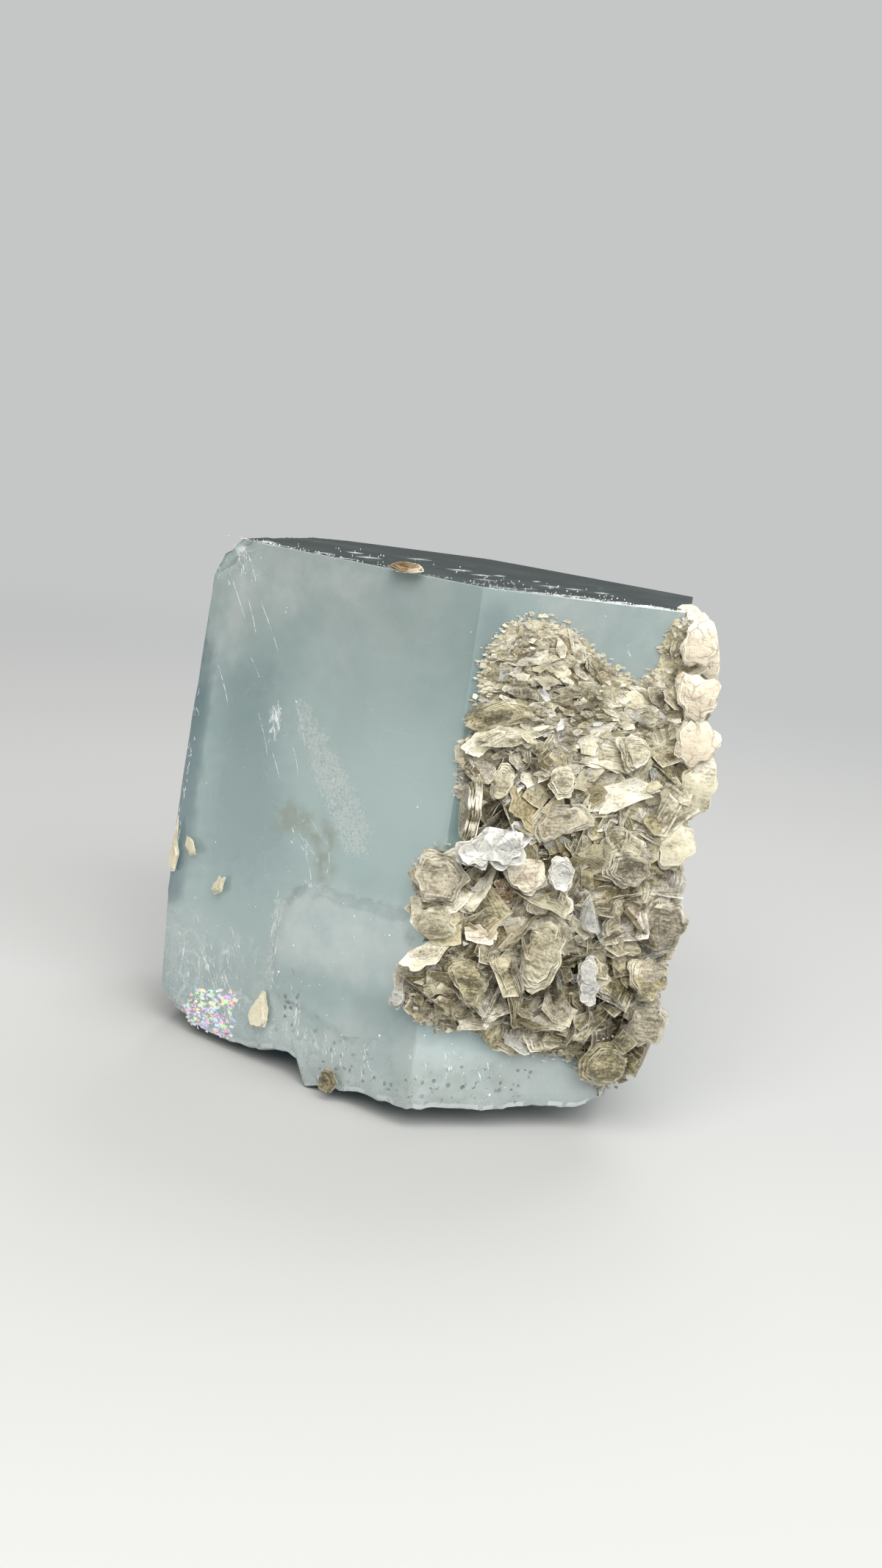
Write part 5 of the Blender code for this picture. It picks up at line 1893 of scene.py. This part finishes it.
    def build_flakes(self) -> None:
        """Plates that cross one another, then thin flakes and splinters on them."""
        dice = random.Random(21)
        plates = (self.plate_spacing, 41, (3.4, 7.2), (0.3, 0.55), 22, (0.4, 0.75, 1.0), 0.16, 0.5,
                  (3, 4, 5))
        flakes = (self.flake_spacing, 43, (1.2, 3.0), (0.45, 0.85), 12, (0.6, 1.0), 0.08, 0.2, (1, 2, 3))
        feathers = (self.feather_spacing, 45, (0.8, 2.4), (0.45, 0.9), 10, (1.0,), 0.06, -0.2, (1, 2))
        for spacing, seed, reach, share, corners, rings, wave, margin, sheets in (plates, flakes, feathers):
            for along, height in self.scatter(spacing, seed, margin):
                edge = self.edge(along, height)
                tilt, way = self.lie(dice, along, height)
                feathery = smooth((height - 37.0) / 6.0) * (along < 20.0)
                if spacing == self.feather_spacing and feathery < 0.3 and edge > 1.5:
                    continue
                size = dice.uniform(*reach) * (0.4 + 0.6 * smooth(edge / 3.0)) * (1.25 - 0.3 * feathery)
                size *= self.side_share if along > STARTS[2] - 1.0 else 1.0
                flat = dice.uniform(0.45, 1.0) * (1.0 - 0.45 * feathery)
                outline = plate_outline(dice, size, size * flat, corners)
                flow = 60.0 * noise.noise(Vector((along * 0.14, height * 0.14, 30.0)))
                spin = dice.gauss(flow, 14.0) if feathery > 0.3 else dice.gauss(flow * 2.0, 40.0)
                axes = leaning_axes(PRISM.wall(along)[1], tilt, way, spin)
                at = PRISM.point(along, height, self.stand(along, height, dice.uniform(*share)))
                self.add_stack(self.pick(dice, along, height), at, axes, outline, self.tint(along, height),
                               dice, dice.choice(sheets), self.flake_thick, rings, wave)
        for along, height in self.scatter(self.shard_spacing, 47, 0.0):
            if dice.random() >= 0.55 + 0.3 * smooth(self.edge(along, height) / 3.0):
                out = self.stand(along, height, dice.uniform(0.4, 0.8))
                self.add_shard(dice, along, height, out, 35.0)

    def add_shard(self, dice: random.Random, along: float, height: float, out: float, tilt: float,
                  length: float = 1.5) -> None:
        """Add one splinter.

        Args:
            dice: The source of chance.
            along: Its place along the faces.
            height: Its height.
            out: How far out it stands.
            tilt: How steeply it may lean, in degrees.
            length: Its greatest length.
        """
        outward = PRISM.wall(along)[1]
        axes = leaning_axes(outward, abs(dice.gauss(0.0, tilt)), dice.uniform(0.0, 360.0), 0.0)
        length = length * dice.uniform(0.27, 1.0)
        outline = shard_outline(dice, length, length * dice.uniform(0.25, 0.8))
        kind = dice.choice((Mica.CREAM, Mica.CREAM, Mica.SILVER)) if length > 0.3 else Mica.SILVER
        self.add_stack(kind, PRISM.point(along, height, out), axes, outline, dice.uniform(0.8, 1.5), dice,
                       1, self.flake_thick, (1.0,), 0.0)

    def build_glints(self) -> None:
        """Tiny bright flakes that catch the light all over the crust."""
        dice = random.Random(91)
        for along, height in self.scatter(self.glint_spacing, 93, 0.0):
            out = self.stand(along, height, dice.uniform(0.7, 1.0))
            self.add_shard(dice, along, height, out, 30.0, 0.29)

    def build_fringe(self) -> None:
        """Splinters along the crust's outline, nearly flat on the crystal."""
        dice = random.Random(77)
        for start, end in sides_of(self.outline):
            for _ in range(max(1, round(math.dist(start, end) / self.fringe_step))):
                spot = between(start, end, dice.random())
                along, height = (place + dice.gauss(0.0, 0.5) for place in spot)
                if height < PRISM.top - 0.6 and self.edge(along, height) > -self.fringe_reach * dice.random():
                    self.add_shard(dice, along, height, dice.uniform(0.06, 0.5), 16.0, 1.2)

    def build(self) -> list[tuple[Mica, bpy.types.Object]]:
        """Build the whole crust, joined by kind, in place of its CAD node.

        Returns:
            Each kind with its piece.
        """
        self.build_bed()
        self.build_leaves()
        self.build_flakes()
        self.build_fringe()
        self.build_glints()
        pieces = []
        for kind, heap in self.heaps.items():
            piece = heap.make(f"crust_{kind.value.removeprefix('mica_')}_flakes", kind.value, 40.0)
            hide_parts("mica_crust")
            pieces.append((kind, piece))
        return pieces


# --------------------------------------------------------------------------------------------------
# What is sealed in the crystal, and painted glints and highlights on it
# --------------------------------------------------------------------------------------------------


@dataclass
class SealedMarks:
    """Needles, healed cracks, bright specks that are painted glints, and the rainbow break, set in or on the
    walls of the crystal; a few needles and slivers along the growth plate's left edge are a painted
    highlight.
    """

    body: CrystalBody
    needles: tuple[tuple[Pair, Pair, float], ...] = (
        (*seen((310, 770), (336, 849)), 0.10), (*seen((352, 810), (378, 885)), 0.12),
        (*seen((339, 890), (353, 922)), 0.14), (*seen((353, 919), (378, 930)), 0.16),
        (*seen((300, 905), (312, 960)), 0.14), (*seen((352, 970), (365, 1030)), 0.15),
        (*seen((402, 950), (415, 1015)), 0.12), ((-30.6, 47.9), (-28.9, 44.6), 0.10),
        ((-21.4, 33.9), (-20.2, 31.2), 0.10), ((-24.4, 33), (-22.8, 30.4), 0.12),
        ((-25.6, 29.8), (-24.2, 30.8), 0.12), ((-16.8, 38.2), (-15.2, 38.1), 0.10),
        # The last needle on this line and the two on the next run down the growth plate's left edge: white
        # slivers that are a painted highlight.
        (*seen((503, 1416), (493, 1447)), 0.22), ((-19.8, 17.6), (-20.6, 13.6), 0.24),
        ((-20.3, 13.4), (-20.6, 11.6), 0.30), ((-18.9, 11.2), (-19.6, 8.8), 0.20),
        ((-2, 21.6), (-0.4, 21.5), 0.16), ((-31, 9.6), (-28, 5.4), 0.3),
        ((-33.2, 10.4), (-33.6, 5.4), 0.3),
    )
    cracks: tuple[tuple[Pair, ...], ...] = (
        (*seen((400, 1125), (420, 1110), (432, 1130)), (-15.0, 25.4), (-14.4, 23.4), (-14.9, 21.3)),
        ((-18.6, 24.4), (-17.2, 22.6), (-16.4, 20.4), (-14.2, 20.6), (-12.9, 21.6)),
        ((-19.2, 19.8), (-17, 20.9), (-15.6, 19.9), (-13, 20.2), (-11.2, 20)),
    )
    needle_share: float = 0.55
    needle_parts: int = 4
    crack_width: float = 0.09
    feathers: tuple[tuple[Pair, Pair, float, int], ...] = (
        # The second patch on this line and the patch on the next line lie along the growth plate's left edge:
        # a painted highlight of white slivers.
        ((-24.6, 36.6), (1.2, 3.4), 0.1, 60), ((-21, 15.6), (0.7, 4.2), -0.1, 20),
        ((-20.3, 11.2), (0.8, 3.6), 0.1, 16),
        ((-16.6, 20.6), (3, 0.8), 0.6, 12), ((-4, 21.4), (6, 0.7), 0.6, 14),
        ((-6.2, 5.8), (0.7, 3), 0.1, 12), ((-29, 8.6), (9, 7), 0.3, 64),
        ((-32.5, 51.5), (4, 3.5), 0.5, 30), ((7.8, 41.6), (1.6, 1.2), 0, 6),
        ((5, 6.6), (14, 2.6), 0.2, 26), ((-12, 4.8), (9, 5), 0.2, 44),
        ((-16.5, 7), (1.6, 4), 0, 24),
        ((15.8, 49.8), (0.7, 1.2), 0.2, 5), ((-35.6, 30), (0.8, 16), 0, 24),
        ((-18.4, 25), (4, 3), 0.8, 12), ((96, 12), (12, 7), 0.3, 30),
        ((64, 30), (10, 14), 0.5, 20),
    )
    # How many painted glints go on the front faces, and how many glints and streaks go on the top.
    specks: int = 130
    top_glints_and_streaks: int = 420
    facets: int = 420
    rainbow: Outline = ((-33.0, 2.0), (-31.6, 4.6), (-28.4, 5.4), (-25.1, 6.4), (-24.6, 1.0), (-28.0, 0.4),
                        (-32, 0.6))

    def surface(self, along: float, height: float, out: float) -> Vector:
        """A point off the crystal's real surface."""
        return self.body.chipped(self.body.wall_point(along, height)) + PRISM.wall(along)[1] * out

    def needle(self, heap: Heap, start: Pair, end: Pair, width: float) -> None:
        """Add a needle: a spindle along the wall."""
        for part in range(self.needle_parts):
            corners = []
            for share in (part / self.needle_parts, (part + 1) / self.needle_parts):
                along, height = between(start, end, share)
                half = width / 2 * math.sin(math.pi * min(0.95, max(0.05, share)))
                bow = 0.12 * math.sin(math.pi * share)
                corners.append([(along - half + bow, height, 0.012), (along + bow, height, 0.03),
                                (along + half + bow, height, 0.012), (along + bow, height, -0.02)])
            points = [self.surface(*corner) for ring in corners for corner in ring]
            faces = [(i, (i + 1) % 4, 4 + (i + 1) % 4, 4 + i) for i in range(4)]
            heap.add(points, [*faces, (3, 2, 1, 0), (4, 5, 6, 7)], fade=1.0)

    def build_needles(self) -> bpy.types.Object:
        """The pale needles and healed cracks."""
        heap = Heap()
        for start, end, width in self.needles:
            self.needle(heap, start, end, width * self.needle_share)
        for crack in self.cracks:
            for start, end in zip(crack, crack[1:]):
                self.needle(heap, start, end, self.crack_width)
        self.add_feathers(heap)
        return heap.make("pale_needles", "aquamarine", 60.0)

    def add_feathers(self, heap: Heap) -> None:
        """Patches of short pale slivers that hang side by side; two of them are a painted highlight along the
        growth plate's left edge.
        """
        dice = random.Random(29)
        for (along, height), (width, tall), lean, count in self.feathers:
            for _ in range(count):
                x = along + dice.gauss(0.0, width / 3.5)
                y = height + dice.gauss(0.0, tall / 3.5)
                length = dice.uniform(0.25, 1.3) * min(1.0, tall / 2.0)
                way = lean + dice.gauss(0.0, 0.25)
                end = (x + math.sin(way) * length, y - math.cos(way) * length)
                if y < 53.0 and end[1] > 2.6:
                    self.needle(heap, (x, y), end, dice.uniform(0.05, 0.2))

    def build_painted_glints(self) -> bpy.types.Object:
        """Painted glints: tiny white specks, scattered over the two front faces."""
        dice = random.Random(3)
        heap = Heap()
        ways = ((1, 0, 0), (-1, 0, 0), (0, 1, 0), (0, -1, 0), (0, 0, 0.6), (0, 0, -0.6))
        faces = [(0, 2, 4), (2, 1, 4), (1, 3, 4), (3, 0, 4), (2, 0, 5), (1, 2, 5), (3, 1, 5), (0, 3, 5)]
        for _ in range(self.specks):
            along, height = dice.uniform(-35.0, 21.0), dice.uniform(2.0, 53.0)
            if dice.random() < 0.5:
                along, height = dice.uniform(-33.0, 0.0), dice.uniform(2.0, 22.0)
            size = dice.uniform(0.03, 0.07) if dice.random() < 0.85 else dice.uniform(0.08, 0.14)
            middle = self.surface(along, height, 0.01)
            axes = leaning_axes(PRISM.wall(along)[1], 0.0, 0.0, dice.uniform(0.0, 90.0))
            heap.add([middle + axes @ (Vector(way) * size) for way in ways], faces, fade=1.0)
        self.add_top_glints_and_streaks(heap, dice)
        return heap.make("painted_glint_specks", "aquamarine", 20.0)

    def add_top_glints_and_streaks(self, heap: Heap, dice: random.Random) -> None:
        """Painted glints on the top face, thick along its front rim, and a few streaks across it."""
        for number in range(self.top_glints_and_streaks):
            face = dice.choice((0, 0, 1, 1, 1))
            start, end = STARTS[face], STARTS[face + 1]
            foot, outward = PRISM.wall(dice.uniform(start + 0.5, end - 0.5))
            inset = abs(dice.gauss(0.0, 1.6)) + 0.15 if number % 4 else dice.uniform(1.0, 22.0)
            spot = foot - outward * inset
            streak = number % 7 == 0
            long_side = dice.uniform(0.5, 2.2) if streak else dice.uniform(0.04, 0.11)
            short_side = dice.uniform(0.03, 0.07) if streak else dice.uniform(0.04, 0.09)
            turn = dice.gauss(43.0, 6.0) if streak else dice.uniform(0.0, 180.0)
            ahead, across = unit_way(turn) * long_side, unit_way(turn + 90.0) * short_side
            middle = Vector((spot.x, spot.y, PRISM.top - 0.01))
            if max(PRISM.outs(middle)) > -0.15:
                continue
            points = [middle + ahead, middle + across, middle - ahead, middle - across,
                      middle + Vector((0.0, 0.0, 0.05))]
            faces = [(0, 1, 4), (1, 2, 4), (2, 3, 4), (3, 0, 4), (3, 2, 1, 0)]
            heap.add(points, faces, fade=0.4 if streak else 1.0)

    def build_veils(self) -> bpy.types.Object:
        """Curved veils fanned out behind the chipped corner, and deep ones inside."""
        dice = random.Random(9)
        heap = Heap()
        veils = [((-34.6 + 0.4 * i, 53.3 - 0.2 * i), dice.uniform(-12.0, -70.0), dice.uniform(4.0, 9.0),
                  dice.uniform(1.0, 2.4), dice.uniform(0.15, 0.9)) for i in range(6)]
        veils += [((dice.uniform(-34.0, -22.0), dice.uniform(2.0, 11.0)), dice.uniform(20.0, 160.0),
                   dice.uniform(2.0, 5.0), dice.uniform(1.0, 2.2), dice.uniform(0.3, 2.5)) for _ in range(7)]
        veils += [((dice.uniform(-30.0, -4.0), dice.uniform(14.0, 46.0)), dice.uniform(0.0, 180.0),
                   dice.uniform(5.0, 11.0), dice.uniform(3.0, 6.0), dice.uniform(3.0, 9.0)) for _ in range(2)]
        for (along, height), turn, length, width, deep in veils:
            self.veil(heap, dice, (along, height), math.radians(turn), (length, width), deep)
        return heap.make("milky_veils", "aquamarine", 60.0)

    def veil(self, heap: Heap, dice: random.Random, start: Pair, turn: float, size: Pair,
             deep: float) -> None:
        """Add a veil: a thin bowed sheet under the surface that fades at its edges.

        Args:
            heap: Where it is added.
            dice: The source of chance.
            start: The (along, height) at which it starts.
            turn: The way it runs, in radians.
            size: Its length and width.
            deep: How deep it lies.
        """
        rows, columns = 12, 6
        bow = dice.uniform(-0.5, 0.5)
        points, fades = [], []
        for row in range(rows + 1):
            for column in range(columns + 1):
                run, side = row / rows, column / columns - 0.5
                ahead = run * size[0]
                across = side * size[1] * (0.3 + run) + bow * ahead * run
                along = start[0] + math.cos(turn) * ahead - math.sin(turn) * across
                height = start[1] + math.sin(turn) * ahead + math.cos(turn) * across
                along, height = min(-1.5, max(-34.5, along)), min(53.2, max(2.5, height))
                sink = deep * (0.6 + 0.8 * run) + 0.5 * side * size[1]
                points.append(PRISM.point(along, height, -max(0.25, sink)))
                fades.append(smooth(1.0 - 2 * abs(side)) * smooth(2.5 * (1 - run)) * smooth(3.0 * run + 0.3))
        step = columns + 1
        starts = [row * step + column for row in range(rows) for column in range(columns)]
        heap.add(points, [(first, first + 1, first + step + 1, first + step) for first in starts], fade=fades)

    def build_rainbow(self) -> bpy.types.Object:
        """Small tilted facets of the fresh break, each with its own hue."""
        dice = random.Random(17)
        heap = Heap()
        low, high = np.array(self.rainbow).min(0), np.array(self.rainbow).max(0)
        for _ in range(self.facets):
            along, height = dice.uniform(low[0], high[0]), dice.uniform(low[1], high[1])
            if outline_distance(along, height, self.rainbow) < dice.uniform(-0.3, 0.5):
                continue
            size = dice.uniform(0.25, 0.8)
            outward = PRISM.wall(along)[1]
            axes = leaning_axes(outward, abs(dice.gauss(0.0, 18.0)), dice.uniform(0.0, 360.0), 0.0)
            outline = shard_outline(dice, 1.6 * size, size)
            at = self.surface(along, height, dice.uniform(-0.02, 0.05))
            Sheet(at, axes, outline, 0.03, 0.0, dice.random()).add_to(heap)
        return heap.make("rainbow_break", "aquamarine", 20.0)

    def build(self) -> None:
        """Build and dress every mark."""
        white = VeilFinish("needle_white", (0.84, 0.89, 0.89), 0.7, 1500.0)
        milky = VeilFinish("veil_milk", (0.82, 0.87, 0.87), 0.55, 420.0)
        # White specks that are painted glints.
        bright = VeilFinish("painted_glint_white", (0.97, 0.98, 0.97), 1.6, 10.0, 0.2)
        for build, finish in ((self.build_needles, white), (self.build_painted_glints, bright),
                              (self.build_veils, milky), (self.build_rainbow, RainbowFinish())):
            build().data.materials.append(finish.build())


# --------------------------------------------------------------------------------------------------
# The studio
# --------------------------------------------------------------------------------------------------


@dataclass
class Studio:
    """A pale floor that fades into a pale backdrop, soft lights, and the camera."""

    floor_radius: float = 0.9
    solid_radius: float = 0.10
    floor_colour: Colour = (0.50, 0.50, 0.49)
    backdrop: Colour = (0.56, 0.57, 0.57)
    surroundings: Colour = (0.10, 0.117, 0.114)
    soft_light: Colour = (0.34, 0.34, 0.34)
    aim_height: float = 0.028

    def build_floor(self) -> None:
        """A round floor whose far part fades out."""
        shape = bmesh.new()
        bmesh.ops.create_circle(shape, cap_ends=True, segments=96, radius=self.floor_radius)
        mesh = bpy.data.meshes.new("floor")
        shape.to_mesh(mesh)
        shape.free()
        floor = add_object("floor", mesh)
        material, nodes, shader = blank_material("floor_paper")
        reach = nodes.add("ShaderNodeVectorMath", operation="LENGTH")
        nodes.feed(reach.inputs[0], nodes.place())
        fade = nodes.step(reach.outputs["Value"], self.floor_radius * 0.6, self.solid_radius)
        nodes.fill(shader, Alpha=fade, Base_Color=self.floor_colour, Roughness=0.9, Specular_IOR_Level=0.0)
        mesh.materials.append(material)

    def build_world(self) -> None:
        """A pale backdrop for the camera, and dimmer surroundings for light and reflections."""
        world = bpy.data.worlds.new("studio")
        bpy.context.scene.world = world
        world.use_nodes = True
        nodes = Nodes(world.node_tree)
        nodes.tree.nodes.clear()
        path = nodes.add("ShaderNodeLightPath")
        colour = nodes.mix(path.outputs["Is Diffuse Ray"], self.surroundings, self.soft_light)
        colour = nodes.mix(path.outputs["Is Camera Ray"], colour, self.backdrop)
        background = nodes.add("ShaderNodeBackground")
        nodes.feed(background.inputs["Color"], colour)
        output = nodes.add("ShaderNodeOutputWorld")
        nodes.feed(output.inputs["Surface"], background.outputs[0])

    def add_light(self, name: str, heading: float, rise: float, away: float, size: float, power: float,
                  colour: Colour = (1.0, 1.0, 1.0)) -> None:
        """Add a square soft light that faces the crystal's middle.

        Args:
            name: Its name.
            heading: The heading it stands at, in degrees from +X towards +Y.
            rise: Its angle above the floor, in degrees.
            away: Its distance in metres.
            size: Its side in metres.
            power: Its power in watts.
            colour: Its colour.
        """
        light = bpy.data.lights.new(name, "AREA")
        light.size, light.energy, light.color = size, power, colour
        lamp = add_object(name, light)
        way = unit_way(heading, rise)
        lamp.location = Vector((0.0, 0.0, self.aim_height)) + way * away
        lamp.rotation_mode = "QUATERNION"
        lamp.rotation_quaternion = way.to_track_quat("Z", "Y")

    def build_lights(self) -> None:
        """A soft key from the upper left front, a wide fill from the right and a light from behind."""
        self.add_light("key", 262.0, 42.0, 0.45, 0.32, 2.1, (1.0, 0.985, 0.95))
        self.add_light("fill", 305.0, 34.0, 0.6, 0.42, 2.4, (0.97, 0.99, 1.0))
        self.add_light("back", 70.0, 50.0, 0.6, 0.4, 2.0, (0.97, 0.99, 1.0))

    def build_camera(self) -> None:
        """The camera: slightly above, tilted to the left, looking at the front edge."""
        data = bpy.data.cameras.new("camera")
        data.sensor_fit, data.sensor_width, data.sensor_height = "VERTICAL", VIEW.sensor, VIEW.sensor
        data.lens, data.clip_start = VIEW.lens, 0.001
        camera = add_object("camera", data)
        side, up, ahead = VIEW.axes()
        turned = Matrix((side, up, -ahead)).transposed().to_4x4()
        camera.matrix_world = Matrix.Translation(Vector(VIEW.at)) @ turned
        bpy.context.scene.camera = camera

    def build(self) -> None:
        """Build the whole studio."""
        self.build_floor()
        self.build_world()
        self.build_lights()
        self.build_camera()
        view = bpy.context.scene.view_settings
        view.view_transform, view.look, view.exposure, view.gamma = "Standard", "None", 0.0, 1.0
        paths = bpy.context.scene.cycles
        paths.max_bounces, paths.transmission_bounces, paths.transparent_max_bounces = 6, 5, 6
        paths.diffuse_bounces, paths.glossy_bounces = 2, 2


def write_sizes() -> None:
    """Update the view layer."""
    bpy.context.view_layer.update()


def main() -> None:
    """Build the crystal, what is sealed in it, the mica and the studio."""
    groups = Groups()
    body = CrystalBody()
    crystal = body.build()
    body.dress(crystal, groups)
    LOG.info("crystal: %d faces", len(crystal.data.polygons))
    SealedMarks(body).build()
    mica = {kind: finish.build(groups) for kind, finish in MICA_FINISHES.items()}
    slots = {part["node"]: part["material_slot"] for part in frame["record"]["subparts"]}
    whole = ("aquamarine_crystal", "mica_crust")
    books = {node: Mica(slot) for node, slot in slots.items() if node not in whole}
    maker = MicaBooks()
    for node, kind in books.items():
        maker.build(node, kind).data.materials.append(mica[kind])
    crust = MicaCrust()
    crust.note_books(books)
    for kind, piece in crust.build():
        piece.data.materials.append(mica[kind])
    Studio().build()
    write_sizes()


if __name__ == "__main__":
    main()
